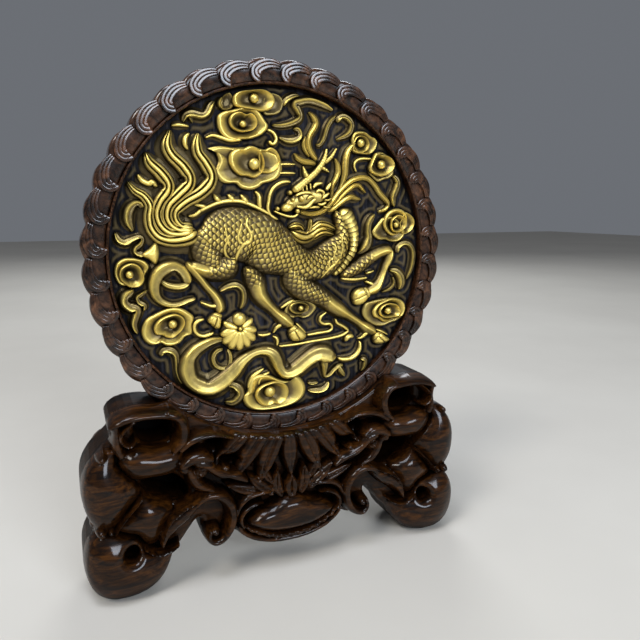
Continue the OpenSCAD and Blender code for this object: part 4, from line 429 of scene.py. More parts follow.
# Right half of the stand's outline, from the middle of the pendant to the shoulder
STAND_EDGE = [
    [0, 13.5], [12, 14.2], [23, 17], [30, 21.5], [34, 24], [38, 22.5], [43, 20.5], [49, 21], [53, 25],
    [54.2, 31], [54, 36.6], [57, 35.6], [61, 30.5], [66, 24], [71, 19], [74, 13], [79, 6.5], [86, 2],
    [95, 0], [104, 0], [112, 3.5], [117, 10], [119.5, 19], [119.5, 28], [117.2, 35.5], [113.5, 41],
    [115, 44.5], [115, 48.5], [117.5, 56], [118.5, 66], [117, 75], [112.5, 83], [106.5, 89], [102, 93.4],
    [101, 98], [102.8, 101.6], [101, 106], [96, 109.2], [88, 110.4], [78, 109.6], [70, 110.2]]
# Holes through the right half of the front board
UPPER_HOLE = [[68, 96], [69.8, 101], [78, 102.8], [87, 102.4], [89, 98], [88, 92.6], [83.6, 88.4],
              [75.6, 87.6], [70, 90]]
BIG_HOLE = [[60.6, 57.4], [65.5, 64.6], [73, 68.6], [83, 69], [86.8, 64.6], [83, 58.6], [75, 54],
            [66, 51.4], [61.2, 53]]
RIM_HOLE = [[40.6, 84.4], [42.6, 87.4], [47.4, 86], [49.2, 82.6], [45.4, 80.2], [41.6, 81.6]]
LEAF_HOLE = [[31.2, 72.4], [36.6, 76.2], [42.6, 75.8], [41.6, 72.4], [36.6, 70.4]]
FOOT_HOLE = [[90, 27.8], [91.4, 31], [94.4, 32], [97.4, 30.6], [98.4, 27.4], [96.6, 24.4], [93.4, 23.6],
             [91, 25]]

# Carved forms of the right half of the stand's front: height, then across, up and width of each point
SCROLL_BANDS = [
    (5.6, [[66, 104.4, 9], [73, 106, 8], [82, 106.6, 7.6], [91, 106.2, 7.4], [97.6, 104.4, 6.6],
           [103, 101.6, 2]]),
    (6.4, [[71, 107, 6], [64.8, 102.4, 7.4], [62.8, 96, 8], [64.4, 89.6, 8.4], [68.6, 85, 5]]),
    (5.0, [[98.6, 103, 6], [98.8, 97, 6], [98.4, 91, 6.6], [96.6, 86, 6]]),
    (6.8, [[89, 104.6, 2], [93.4, 101.4, 3], [96.4, 97.4, 3.2], [95.4, 93.2, 3.2], [91.8, 91.4, 3],
           [89, 93.4, 2.4]]),
    (8.2, [[86.6, 61.6, 1.4], [91, 57, 2.2], [96, 51.6, 2.4], [100, 46.6, 2.2], [102.6, 42.6, 1.4]]),
    (7.0, [[87, 29.6, 1.8], [80.6, 25.2, 3], [74.4, 25.4, 2.8], [68.6, 28.6, 1.4]]),
    (6.6, [[77.6, 30, 3], [75.6, 35.6, 7.4], [71.4, 41, 10.4], [65.6, 45.2, 10.6], [60, 49.2, 8],
           [55.6, 53, 4]]),
    (8.0, [[77, 33.6, 1.6], [74, 42.6, 2.4], [67, 48.4, 2.6], [58.6, 52.4, 2.4], [52, 57, 1.6]])]
BRANCH_BANDS = [
    (6.4, [[65, 85, 5], [60, 88.6, 6.4], [54, 90.6, 5.8], [47, 91, 5], [42, 89.6, 3.4], [35, 87.4, 1.6]]),
    (8.2, [[65, 75.6, 6], [60, 78.4, 9.4], [54, 79.4, 9.6], [48.6, 77.4, 5]]),
    (7.4, [[56, 76, 8], [51.6, 74.6, 9.4], [47, 70, 7], [42.4, 67, 8.6], [38.4, 65.8, 6.2], [33.6, 64, 7.6],
           [28.6, 61, 4]]),
    (5.4, [[61, 71.6, 6], [58, 65, 8.4], [53.6, 60, 7.4], [48, 57.6, 4]]),
    (7.6, [[58, 51, 4], [53, 54.4, 6.4], [46.6, 54.6, 7.6], [41, 51, 8], [37.4, 45, 7.8], [36.8, 38, 7.4],
           [39, 31.4, 7], [43.4, 26.6, 6.6], [48.2, 25.4, 6.2], [51.4, 28.6, 5.4], [50.6, 32.6, 4.6]]),
    (6.0, [[34.4, 40, 3], [31.8, 45.4, 5], [27.4, 49, 5.6], [21, 50.4, 5], [14, 50.4, 2.4]])]
FAN_LEAVES = [
    (5.6, [[0, 84, 9], [0, 76, 11.6], [0, 68, 9.6], [0, 58, 1.5]]),
    (5.2, [[8.4, 84.6, 11], [12, 77, 13], [15.8, 68, 11], [20, 57.6, 1.5]]),
    (4.6, [[18, 86, 12], [23.4, 79, 13], [28.4, 71.6, 10], [33.4, 63.6, 1.5]]),
    (4.0, [[28, 88.4, 9], [33.6, 83.4, 11], [39.6, 78, 8], [46.4, 72.6, 1.5]]),
    (6.2, [[0, 47, 8], [0, 51.6, 10], [0, 58, 2]]),
    (5.6, [[6.4, 47.6, 6], [8.6, 52.6, 9], [8.8, 58, 6.4], [8.4, 64, 1.5]]),
    (6.4, [[13, 50, 6], [17.4, 53.6, 8.6], [22, 57.6, 6.6], [26.6, 62.6, 1.5]]),
    (5.6, [[20, 51.6, 5], [26.4, 53.6, 8.6], [33, 56, 6.6], [40, 59.4, 1.5]]),
    (5.0, [[12, 56, 4], [15, 60, 6.4], [17, 64, 4.6], [18, 68, 1.5]])]
PENDANT_BANDS = [
    (4.4, [[-1, 16.6, 6], [8, 17, 6], [16, 18.8, 6], [24, 22, 5.6], [30, 26.4, 5], [33, 31, 3.6]]),
    (6.4, [[30.6, 31, 3], [32, 36.4, 4.4], [29.4, 41, 4.6], [24, 44, 3.4], [18.6, 44.6, 1.8]])]
# Beaded rim below the pendant's lens
PENDANT_RIM = (6.8, [[-1, 20.4, 5.4], [7, 20.8, 5.4], [14, 22.6, 5.4], [20.4, 25.4, 5], [26, 28.6, 4.4],
                     [30, 32, 2.6]])

# Swelling forms: height, depth of the rounding, outline
SCROLL_PILLOWS = [
    (7.6, 10.0, [[65, 84.8], [70, 87], [78, 86.8], [86, 88.6], [94, 87.4], [98.6, 82.6], [97, 77],
                 [91.6, 70.8], [84, 69.4], [75, 69.4], [67.6, 71.6], [63.4, 75.6], [62.4, 80.4]]),
    (9.8, 17.0, [[100, 88], [106.4, 88.8], [112.4, 83], [117, 75], [118.4, 66], [117.4, 56], [114.6, 48.6],
                 [109, 44], [103, 42.6], [99.6, 47], [95, 52.6], [90, 58.4], [86.6, 62], [90.6, 69],
                 [95.6, 75], [99.4, 80.6]]),
    (7.6, 12.0, [[86, 61.4], [82, 58.8], [76, 55.4], [71, 52], [70.4, 48], [74.4, 42.4], [77, 36], [80, 31],
                 [84.6, 29.6], [88, 33], [91, 37.4], [97, 39.6], [101.6, 42.4], [99, 46.6], [94.6, 52],
                 [90, 57.6]]),
    (10.4, 21.0, [[112.6, 40.6], [117.2, 35.4], [119.4, 28], [119.4, 19], [117, 10], [112, 3.6], [104, 0],
                  [95, 0], [86, 2], [79, 6.6], [74.4, 13], [72, 19], [71, 24.6], [75.6, 26], [81, 25.6],
                  [85.6, 27.6], [88.6, 32], [92, 36.4], [98, 38.6], [105, 41.4]])]
PENDANT_PILLOW = (9.0, 7.0, [
    [0, 46.4], [6, 45.6], [13, 42], [20, 40.4], [25.6, 37], [29.4, 32.6], [25, 28.8], [19, 25.6], [11, 23.2],
    [0, 22.4], [-11, 23.2], [-19, 25.6], [-25, 28.8], [-29.4, 32.6], [-25.6, 37], [-20, 40.4], [-13, 42],
    [-6, 45.6]])
# Buds: across, up, radius, height
SCROLL_BUDS = [[107, 86.6, 3.4, 8.6], [109.4, 44, 3.8, 7.6], [104.4, 43.6, 2.4, 6.6]]
BRANCH_BUDS = [[47.6, 32, 3.6, 7.6], [63.6, 73.4, 4.4, 7], [54.4, 70.4, 5.4, 6.4], [39.4, 70.4, 3.4, 6.4]]
# Rough burls where twigs were cut: across, up, radius
KNOTS = [[54.4, 70.4, 5.4], [34, 48.6, 3.4]]
# Depth of the ground between the carved forms, and the least wood left behind it
SUNK, BOARD_T, LEAST_WOOD = 4.0, 10.0, 0.6
# Mark of the boards' edges and inner faces, which are drawn far darker and without polish
INSIDE = -1.0
# Height at which a carving starts on the sunk ground, and the depth that it is let into it
SEAM, SEAT = 0.05, 0.3
# Share of a cell within which a point is drawn to the edge, and the step that finds the way there
EDGE_SHARE, PROBE = 0.3, 0.02
# Radii of the stand's rounded edges: outline, holes and lip of the slot
EDGE_ROUND, HOLE_ROUND, LIP_ROUND = 5, 4.5, 1.8
# Height at which a carving of the stand counts as fully raised, on its front and on its back
FULL_RISE, BACK_RISE = 5, 2
# Reach of the grid over the stand's face: half its width, low and high edge; and a place above the whole panel
FACE_HALF, FACE_LOW, FACE_HIGH, ABOVE = 121, -1, 112.5, 160
# Sampling step along a band, and the mark of places that are off it
BAND_STEP, OFF_BAND = 0.6, 9.0
# Swelling forms: width of their softening and of their steep edge, as shares of the depth of the rounding
PILLOW_SOFT, PILLOW_STEEP = 0.14, 0.65
# Beads of the pendant's rim: half their height, and turns of the wave along it
BEAD_H, BEAD_TURN = 0.7, 1.1
# Leaves: depth and width of the groove along the middle, and how far one side stands above the other
VEIN_DEPTH, VEIN_WIDTH, LEAF_TILT = 1.2, 0.14, 0.13
# Carving on the back of the stand: share of the front's heights, and depth of its ground
BACK_SHARE, BACK_SUNK = 0.22, 3.0

# One wave of the border: degrees past its start, radius, width
WAVE = [[4.6, 98.8, 5.0], [3.4, 99.4, 6.2], [2.7, 101.0, 6.4], [2.9, 103.2, 6.2], [4.5, 105.2, 6.0],
        [6.8, 106.4, 5.4], [9.2, 106.2, 4.2], [11.2, 105.2, 2.8]]
# Bands of a wave: shift from its middle and width, as shares of its width
BAND_SHIFTS, BAND_WIDTH = (-0.33, 0.0, 0.33), 0.35
# Depth below the border's front of its ring and of the waves' feet, height of the waves, samples to each wave
RING_BELOW, WAVE_BELOW, WAVE_TOP, WAVE_SAMPLES = 2.6, 3.0, 2.7, 14
# Scalloped edge of one wave: share of a turn, radius
SCALLOP = [[0, 107], [0.17, 108.8], [0.38, 109.8], [0.6, 110], [0.82, 108.8]]

# Modelling of the head: bosses as across, up, radius, height; strands as height of their foot, and points
HEAD_BOSSES = [
    [-0.9, 27.2, 1.3, 5.0], [8.3, 32.2, 1.5, 6.0], [13.5, 33, 2.1, 6.8], [7, 36.4, 1.5, 4.6],
    [11.5, 25.8, 1.7, 5.0]]
HEAD_LINES = [
    (2.4, [[10.2, 28.6, 2], [15.5, 28.1, 2.8], [18.4, 29.1, 3.2], [20.6, 31.6, 3.4], [23.4, 33.4, 2.8]]),
    (1.2, [[-3, 25.9, 1.4], [1.5, 24.1, 2], [6, 22.9, 2.4], [9.6, 22.9, 2.2], [12.2, 24.6, 1.8]]),
    (3.0, [[9.6, 34.4, 1.4], [13, 36, 2.2], [17, 36.6, 2.4], [20.8, 35.8, 1.8]]),
    (2.6, [[22.6, 36.4, 1.4], [25, 38, 2.2], [27.8, 36.6, 2.2], [27, 34, 1.6]]),
    (2.2, [[24, 30, 1.4], [27, 29.8, 2.2], [29.8, 31.4, 1.8]]),
    (3.2, [[16.6, 32.4, 1.2], [19, 34.2, 2.2], [22, 34.6, 1.4]]),
    (3.2, [[26.4, 33, 1.4], [28.8, 34.8, 2.2], [31.4, 36.6, 1.0]]),
    (2.2, [[28, 32.4, 1.8], [31, 32.4, 1.6], [33.4, 33.6, 0.9]]),
    (2.0, [[27.6, 28.6, 1.8], [30.6, 28, 1.4], [33, 28.4, 0.9]]),
    (2.4, [[14.4, 40.2, 1.2], [14.8, 36.6, 1.7]]),
    (2.4, [[16.8, 41.2, 1.2], [17.2, 37.2, 1.7]]),
    (2.4, [[19.2, 42.2, 1.2], [19.6, 38, 1.7]]),
    (1.2, [[21.2, 38.8, 1.6], [23.6, 41.4, 3], [28, 42.4, 1.4]]),
    (1.2, [[29.4, 37.8, 1.6], [31.5, 40, 3], [33.2, 42.8, 1.2]]),
    (1.8, [[18.6, 27.6, 1.2], [22, 28.2, 2], [25.6, 28.2, 1.4]])]

# Strands: depth that their edges are let into the field, least width, and least share of the section at an end
EDGE_DROP, LEAST_WIDTH, END_SHARE = 0.25, 0.6, 0.1
# Foot of a strand's sloping skirt, and the room left inside a bend as a share of its radius
SKIRT_FOOT, BEND_ROOM = 0.5, 0.85
# Depth that bosses, dishes, pads and hooves are let into the field
LET_IN = 0.2
# Heights as shares of the relief's height: torso, skull, snout, antlers, hooves with their spurs
BODY_SHARE, SKULL_SHARE, SNOUT_SHARE, ANTLER_SHARE, HOOF_SHARE = 0.86, 0.62, 0.9, 0.95, 0.8
# The same for loose strands and bosses of clouds, the flare, and the core, the lobes and the pearl of the ball
LOOSE_SHARE, BOSS_SHARE, FLARE_SHARE, CORE_SHARE, LOBE_SHARE, PEARL_SHARE = 0.7, 0.72, 0.75, 0.55, 0.4, 0.85
# Heights of the curls on the body, the lines of the head and the lobes of the ball above what carries them
FLAME_TOP, LINE_TOP, LOBE_TOP = 1.6, 2.6, 3.2
# Hooves: fall of the top towards its edge, and depth and width of the cleft
HOOF_FALL, CLEFT_DEPTH, CLEFT_WIDTH = 0.42, 0.8, 0.4
# Scales: distance between rows and radius, as shares of their pitch
ROW_SHARE, SCALE_SHARE = 0.56, 0.78
# Clouds: shares of the way out at which a dish has its rings, where its hollow climbs, where its lip rolls off
DISH_RINGS = [0.03, 0.16, 0.28, 0.38, 0.48, 0.57, 0.65, 0.72, 0.78, 0.83, 0.87, 0.9, 0.93, 0.96, 0.985, 1.0,
              1.0]
CLIMB_FROM, LIP_FROM, LIP_ROLL = 0.3, 0.87, 0.16
# Ball: its middle, the radius of its core and the radius that its lobes follow
BALL_X, BALL_UP, CORE_R, LOBE_R = -25.8, -44.6, 11, 11.4
# Pearl over the ball and knot of its ribbon: across, up, radius
PEARL, BALL_KNOT = (-25.4, -36.6, 4.4), (-25.4, -41.9, 1.5)
# Ground board: size of its cells, and height, gap and fading length of the ridges that echo the carvings
GROUND_STEP, ECHO_HEIGHT, ECHO_GAP, ECHO_FADE = 0.8, 1.1, 4.6, 9
# Radius at which the field turns plain under the bead, and the length over which it does
FIELD_R, FIELD_FADE = 94.8, 1.5
# Height above the field, in metres, below which a point counts as the foot of its carving
FOOT_LEVEL = 0.0008

# Angle between faces, in degrees, above which an edge stays sharp
SHARP_ANGLE = 62
# Reach of the painted shade in hollows, in metres, on the gilding and on the wood
GILT_HOLLOW, WOOD_HOLLOW = 0.006, 0.016

# Floor: half of its side, in metres, and its two tones
FLOOR_HALF = 4.0
FLOOR_TONES = (0.55, 0.515, 0.455), (0.6, 0.565, 0.5)
# Sky: colour and strength
SKY_COLOUR, SKY_STRENGTH = (0.74, 0.79, 0.88, 1), 0.2
# Lamps: place and size in metres, power in watts, colour, spread as an angle
LAMPS = {
    "key": ((-1.12, -0.72, 1.49), (0.48, 0.48), 13.5, (1.0, 0.98, 0.95), math.pi),
    "window": ((0.46, -1.88, 0.92), (0.9, 0.6), 11.5, (0.8, 0.88, 1.0), 1.92),
    "top": ((-0.38, -0.3, 1.63), (0.68, 0.53), 15.0, (0.82, 0.88, 1.0), math.pi),
    "back": ((0.6, 1.6, 1.3), (0.9, 0.7), 16.0, (0.9, 0.95, 1.0), math.pi)}


# Curves and sections

def smooth_run(points, step):
    """Evenly spaced samples along a smooth curve through given points, and the length at each."""
    p = np.array(points, float)
    p = np.vstack([2 * p[0] - p[1], p, 2 * p[-1] - p[-2]])
    t = np.linspace(0, 1, 14, endpoint=False)[:, None]
    runs = [spline(*p[i - 1:i + 3], t) for i in range(1, len(p) - 2)]
    q = np.vstack(runs + [p[-2][None]])
    along = np.concatenate([[0], np.cumsum(np.hypot(*np.diff(q[:, :2], axis=0).T))])
    u = np.linspace(0, along[-1], max(6, int(along[-1] / step)) + 1)
    return np.column_stack([np.interp(u, along, q[:, k]) for k in range(q.shape[1])]), u


def smooth_loop(points, count):
    """A smooth closed curve through given points, with count samples to each stretch."""
    p = np.array(points, float)
    t = np.linspace(0, 1, count, endpoint=False)[:, None]
    n = len(p)
    return np.vstack([spline(p[i - 1], p[i], p[(i + 1) % n], p[(i + 2) % n], t) for i in range(n)])


def spline(a, b, c, d, t):
    """Point on the stretch from b to c of a curve through a, b, c and d."""
    return 0.5 * (2 * b + (c - a) * t + (2 * a - 5 * b + 4 * c - d) * t ** 2 + (3 * b - a - 3 * c + d) * t ** 3)


def bump_at(e, place, reach):
    """A smooth bump of height 1 at one place across a section."""
    return np.exp(-((e - place) / reach) ** 2)


def crown(e):
    """Plain rounded section."""
    return np.clip(1 - np.abs(e) ** 2.4, 0, 1) ** 0.62


def bony(e):
    """Rounded section with a ridge along it, as on a shin."""
    return crown(e) * (0.72 + 0.28 * bump_at(e, 0.08, 0.34))


def locks(e):
    """Rounded section with two grooves, as hair and flames have."""
    return crown(e) - 0.42 * bump_at(e, 0.34, 0.12) - 0.42 * bump_at(e, -0.34, 0.12)


def leaning(e):
    """Section with its crest to one side and a long hollow slope to the other."""
    crest = 0.58 + 0.42 * bump_at(e, -0.42, 0.36)
    return crown(e) * crest - 0.08 * bump_at(e, 0.2, 0.2) + 0.1 * bump_at(e, 0.72, 0.16)


def trough(e):
    """Section of a broad ribbon: a crest along each edge and a hollow between them."""
    return crown(e) * (0.62 + 0.38 * bump_at(e, -0.5, 0.34) + 0.2 * bump_at(e, 0.66, 0.2))


def rise_of(width, top):
    """Height of a strand of that width."""
    return np.minimum(top, 1.5 + 0.55 * width)


class Mesh:
    """Points, faces and rise that are gathered from several forms."""

    def __init__(self):
        """Starts with no form."""
        self.points, self.faces, self.rise, self.count = [], [], [], 0

    def add(self, points, faces, rise):
        """Takes in one form."""
        self.points.append(points)
        self.rise.append(rise)
        self.faces += [tuple(i + self.count for i in f) for f in faces]
        self.count += len(points)


def strip_faces(rows, cols):
    """Faces of a grid of points whose last column is joined to its first."""
    i, j = np.meshgrid(np.arange(rows - 1), np.arange(cols), indexing="ij")
    k = (j + 1) % cols
    quads = np.stack([i * cols + j, i * cols + k, (i + 1) * cols + k, (i + 1) * cols + j], -1)
    return quads.reshape(-1, 4).tolist()


def capped_faces(rows, cols):
    """Faces of a run of closed sections, with a face over its first and its last section."""
    faces = [f[::-1] for f in strip_faces(rows, cols)]
    return faces + [list(range(cols)), list(range((rows - 1) * cols, rows * cols))[::-1]]


def evened(values, reach):
    """Running mean over some samples on each side."""
    wide = np.pad(values, reach, "edge")
    return np.convolve(wide, np.ones(2 * reach + 1) / (2 * reach + 1), "valid")


def unit_tangents(path):
    """Direction of a path at each of its samples."""
    ahead = np.gradient(path[:, :2], axis=0)
    return ahead / (np.linalg.norm(ahead, axis=1)[:, None] + 1e-9)


def rounded_ends(along, width):
    """Share of the whole section that a strand has at each sample, less near its ends."""
    near = np.minimum(along, along[-1] - along)
    return np.maximum(np.sqrt(1 - (1 - np.minimum(near / (0.45 * width + 0.3), 1)) ** 2), END_SHARE)


def section(profile, across, skirt):
    """Section of a strand: place across, share of the skirt, height and tint of each of its points."""
    e = np.sin(np.linspace(-math.pi / 2, math.pi / 2, across))
    form = profile(e)
    tint = (0.06 + 0.94 * form) ** 1.9
    flare = np.zeros(across)
    if skirt > 0:
        e = np.concatenate([[-1, -1], e, [1, 1]])
        flare = np.concatenate([[1, 0.45], flare, [0.45, 1]])
        form = np.concatenate([[0, 0.13], 0.2 + 0.8 * form, [0.13, 0]])
        tint = np.concatenate([[0.02, 0.14], tint, [0.14, 0.02]])
    return e, flare, form, tint


def side_places(e, flare, half, slope, turn):
    """Distance of a strand's points from its middle line, held back on the inside of a tight bend."""
    outer = half[:, None] * np.abs(e) + flare * slope[:, None]
    room = BEND_ROOM / np.maximum(np.abs(turn), 1e-6)
    limit = room[:, None] * (np.abs(e) + flare) / (1 + flare.max())
    inner = (np.sign(turn)[:, None] * np.sign(e)[None]) > 0
    return np.where(inner, np.minimum(outer, limit), outer) * np.sign(e)


def sweep(mesh, points, top, profile=crown, across=9, step=0.55, detail=None, lift=None, shade=1.0, skirt=0.0,
          widen=1.0):
    """Adds one carved strand. detail adds height by place on it, lift sets it on another form, and skirt is the
    share of its width that slopes away on each side."""
    c, along = smooth_run(points, step)
    ahead = unit_tangents(c)
    width = np.maximum(c[:, 2] * widen, LEAST_WIDTH)
    turn = np.gradient(np.unwrap(np.arctan2(ahead[:, 1], ahead[:, 0]))) / (along[1] - along[0])
    turn = evened(turn, int(0.5 * width.mean() / step))
    ends = rounded_ends(along, width)
    e, flare, form, tint = section(profile, across, skirt)
    slope = skirt * width * ends + SKIRT_FOOT * (skirt > 0)
    side = side_places(e, flare, 0.5 * width * ends, slope, turn)
    height = form * (rise_of(width, top) * ends ** 0.7)[:, None]
    shine = tint * np.full((len(c), 1), shade)
    if detail:
        extra, tone = detail(along[:, None] + 0 * side, side)
        height = height + extra * np.minimum(1, form) * ends[:, None]
        shine = shine * tone
    x = c[:, None, 0] - ahead[:, None, 1] * side
    v = c[:, None, 1] + ahead[:, None, 0] * side
    if lift:
        height = height + lift(x, v)
    height[:, [0, -1]] -= EDGE_DROP
    mesh.add(np.stack([x, v, height], -1).reshape(-1, 3), capped_faces(*side.shape), shine.reshape(-1))


def dome(mesh, x, v, radius, height, shade=1.0):
    """Adds a round boss."""
    levels, spokes = 9, 28
    a = np.linspace(0, 2 * math.pi, spokes, endpoint=False)
    t = np.linspace(0, 1, levels)
    r = radius * np.sin(t * math.pi / 2)[::-1]
    h = height * (0.35 + 0.65 * np.cos(t * math.pi / 2)[::-1] ** 0.8)
    h[0] = -LET_IN
    points = np.stack([x + r[:, None] * np.cos(a), v + r[:, None] * np.sin(a), h[:, None] + 0 * a], -1)
    rise = (np.linspace(0.25, 1, levels)[:, None] + 0 * a) * shade
    faces = strip_faces(levels, spokes) + [list(range(spokes))[::-1]]
    mesh.add(points.reshape(-1, 3), faces, rise.reshape(-1))


def outlined(outline, count):
    """A smooth loop that runs anticlockwise."""
    loop = smooth_loop(outline, count)
    x, v = loop.T
    area = (x * np.roll(v, -1) - np.roll(x, -1) * v).sum()
    return loop if area > 0 else loop[::-1]


def rings(mesh, loop, centre, t, heights, rise):
    """Adds a form as rings from a centre out to a loop, each at its height and rise."""
    flat = centre + (loop - centre)[None] * t[:, None, None]
    heights, rise = (np.broadcast_to(a.T, (len(loop), len(t))).T for a in (heights, rise))
    points = np.concatenate([flat, heights[..., None]], -1)
    mesh.add(points.reshape(-1, 3), capped_faces(len(t), len(loop)), rise.reshape(-1))


def dish(mesh, middle, floor, top, outline):
    """Adds one layer of a cloud: a hollow that rises to a bright rolled edge and drops off outside it."""
    t = np.array(DISH_RINGS)
    climb = np.clip((t - CLIMB_FROM) / (LIP_FROM - CLIMB_FROM), 0, 1) ** 1.8
    lip = np.clip(1 - (np.clip(t - LIP_FROM, 0, 1) / LIP_ROLL) ** 2, 0, 1)
    heights = floor + (top - floor) * climb * lip
    heights[-1] = -LET_IN
    bright = min(max((top - 0.6) / 3.4, 0.4), 1)
    rise = bright * (0.2 + 0.8 * np.clip((t - 0.52) / 0.32, 0, 1) ** 1.4)
    rise[-3:] = 0.4 * bright, 0.2 * bright, 0.04
    rings(mesh, outlined(outline, 8), np.array(middle, float), t, heights, rise)


def pad(mesh, outline, top):
    """Adds a rounded form inside a closed outline."""
    loop = outlined(outline, 7)
    t = np.concatenate([np.sin(np.linspace(0.05, 1, 10) * math.pi / 2), [1.0]])
    heights = top * (0.35 + 0.65 * crown(t))
    heights[-1] = -LET_IN
    rings(mesh, loop, loop.mean(0), t, heights, 0.2 + 0.8 * crown(t) ** 0.8)


def hoof(mesh, outline, top, pastern):
    """Adds a flat-topped hoof, cloven along its middle and set off by a groove from the pastern."""
    loop = outlined(outline, 14)
    centre = loop.mean(0)
    t = np.append(np.linspace(0.05, 1, 20), 1.0)
    ahead = (centre - pastern) / np.linalg.norm(centre - pastern)
    place = (loop - centre)[None] * t[:, None, None]
    along = place @ ahead
    cleft = bump_at(place @ np.array([-ahead[1], ahead[0]]), 0, CLEFT_WIDTH) * (along > 0.4 * along.min())
    coronet = bump_at(along, 0.5 * along.min(), 0.5)
    flat_top = 1 - HOOF_FALL * t[:, None] ** 4
    heights = top * flat_top - CLEFT_DEPTH * (cleft + coronet)
    heights[-1] = -LET_IN
    rings(mesh, loop, centre, t, heights, flat_top ** 1.5 * (1 - 0.5 * cleft) * (1 - 0.5 * coronet))


# Nodes of each group with their forms, and the section of each ribbon and wisp
LEGS = {
    "left_hind_leg": LEFT_HIND_LEG, "right_hind_leg": RIGHT_HIND_LEG, "raised_foreleg": RAISED_FORELEG,
    "stretched_foreleg": STRETCHED_FORELEG}
CLOUDS = {
    "top_cloud": TOP_CLOUD, "scroll_cloud": SCROLL_CLOUD, "large_cloud": LARGE_CLOUD, "mane_cloud": MANE_CLOUD,
    "upper_right_cloud": UPPER_RIGHT_CLOUD, "right_cloud": RIGHT_CLOUD, "lower_right_cloud": LOWER_RIGHT_CLOUD,
    "small_cloud": SMALL_CLOUD, "left_cloud": LEFT_CLOUD, "lower_left_cloud": LOWER_LEFT_CLOUD,
    "bottom_cloud": BOTTOM_CLOUD}
RIBBONS = {
    "left_ribbon": (LEFT_RIBBON, trough), "middle_ribbon": (MIDDLE_RIBBON, leaning),
    "bottom_ribbon": (BOTTOM_RIBBON, trough), "right_ribbon": (RIGHT_RIBBON, leaning),
    "side_ribbon": (SIDE_RIBBON, leaning), "upper_left_wisps": (UPPER_LEFT_WISPS, leaning),
    "upper_wisps": (UPPER_WISPS, leaning), "upper_right_wisps": (UPPER_RIGHT_WISPS, leaning),
    "right_wisps": (RIGHT_WISPS, leaning), "lower_left_wisps": (LOWER_LEFT_WISPS, leaning),
    "hoof_loop": (HOOF_LOOP, crown), "left_hook": (LEFT_HOOK, leaning), "lower_wisps": (LOWER_WISPS, leaning),
    "lower_loop": (LOWER_LOOP, crown), "ground_lines": (GROUND_LINES, crown)}


# Scales and plates

def scale_field(along, across, pitch):
    """Overlapping scales whose tips point back along the body: height from 0 to 1."""
    row, radius = pitch * ROW_SHARE, pitch * SCALE_SHARE
    first = np.floor(along / row)
    best = np.zeros_like(along)
    for ahead in range(-1, 3):
        k = first + ahead
        shift = np.mod(k, 2) * pitch / 2
        middle = np.round((across - shift) / pitch) * pitch + shift
        da, ds = (along - k * row) / radius, (across - middle) / radius
        inside = np.abs(ds) < 0.9 * np.clip(1 - np.abs(da) ** 1.6, 0, 1)
        best = np.maximum(best, np.where(inside & (da * da < 1), 0.52 - 0.48 * da - 0.3 * ds * ds, 0))
    return best


def scaled(pitch=3.9, height=2.6, until=None):
    """Detail for sweep: scales over the first stretch of a form, fading out after it. Their tone is painted
    shade: dark in the gaps where a scale tucks under the next, bright gold at its tip.
    """
    def detail(along, across):
        s = scale_field(along, across, pitch)
        keep = 1.0 if until is None else np.clip((until - along) / 4 + 0.5, 0, 1)
        # Tone: painted shade in the gaps under each scale, bright at the tips
        return height * (s - 0.6) * keep, 1 - keep * (1 - np.clip((s - 0.49) / 0.35, 0.03, 1.15))
    return detail


def plated(gap=3.1, height=1.3):
    """Detail for sweep: overlapping belly plates."""
    def detail(along, across):
        s = np.mod(along + 0.02 * across ** 2, gap) / gap
        return height * (s - 0.5), 0.35 + 0.65 * s ** 0.7
    return detail


def knurled(gap=1.9, height=0.35):
    """Detail for sweep: soft rings, as on an antler."""
    def detail(along, across):
        s = 0.5 + 0.5 * np.sin(along * 2 * math.pi / gap + across * 0.8)
        return height * s, 0.8 + 0.2 * s
    return detail


# Objects

def settings():
    """Sizes and colours that the user may change."""
    return bpy.context.scene.table_screen


def relief():
    """Height of the tallest carving above the field, in millimetres."""
    return settings().relief_height / MM


def place_on_field(points):
    """Points of the field's drawing in the frame of the CAD model, in metres."""
    x, v, h = points.T
    return np.column_stack([x * SCALE, FIELD_Y - h * MM, PANEL_Z + v * SCALE])


def close_rim(data, normal):
    """Closes the open rims of a mesh with one flat face, cut into triangles."""
    bm = bmesh.new()
    bm.from_mesh(data)
    rim = [e for e in bm.edges if e.is_boundary]
    bmesh.ops.triangle_fill(bm, use_beauty=True, edges=rim, normal=normal)
    bm.to_mesh(data)
    bm.free()


def new_object(name, points, faces, rise, material, body, node, flat_side=None):
    """Makes the piece that stands for a CAD node and rides on its body. A flat side is closed last."""
    data = bpy.data.meshes.new(name)
    data.from_pydata(points.tolist(), [], faces)
    layer = data.attributes.new("rise", "FLOAT", "POINT")
    layer.data.foreach_set("value", np.asarray(rise, np.float32))
    if flat_side:
        close_rim(data, flat_side)
    data.shade_smooth()
    data.set_sharp_from_angle(angle=math.radians(SHARP_ANGLE))
    data.materials.append(material)
    piece = bpy.data.objects.new(name, data)
    bpy.context.scene.collection.objects.link(piece)
    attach(piece, body)
    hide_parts(node)
    return piece


def gilded(node, mesh):
    """Turns gathered forms into the gilded piece of one node."""
    points = place_on_field(np.vstack(mesh.points))
    rise = np.concatenate(mesh.rise)
    new_object("carved_" + node, points, mesh.faces, rise, gilt_material(), "panel", node)


def strands(node, strokes, profile=crown, across=9, widen=1.35, skirt=0.4):
    """Builds a node that is only strands."""
    mesh = Mesh()
    for p in strokes:
        sweep(mesh, p, relief(), profile, across, skirt=skirt, widen=widen)
    gilded(node, mesh)


def cloud(node, parts):
    """Builds one cloud: its dishes from low to high, its loose strands and its boss."""
    (x, v, radius), dishes, loose = parts
    mesh = Mesh()
    for middle, floor, top, outline in dishes:
        dish(mesh, middle, floor, top, outline)
    for p in loose:
        sweep(mesh, p, relief() * LOOSE_SHARE, across=11, step=0.5, skirt=0.35)
    dome(mesh, x, v, radius, relief() * BOSS_SHARE)
    gilded(node, mesh)


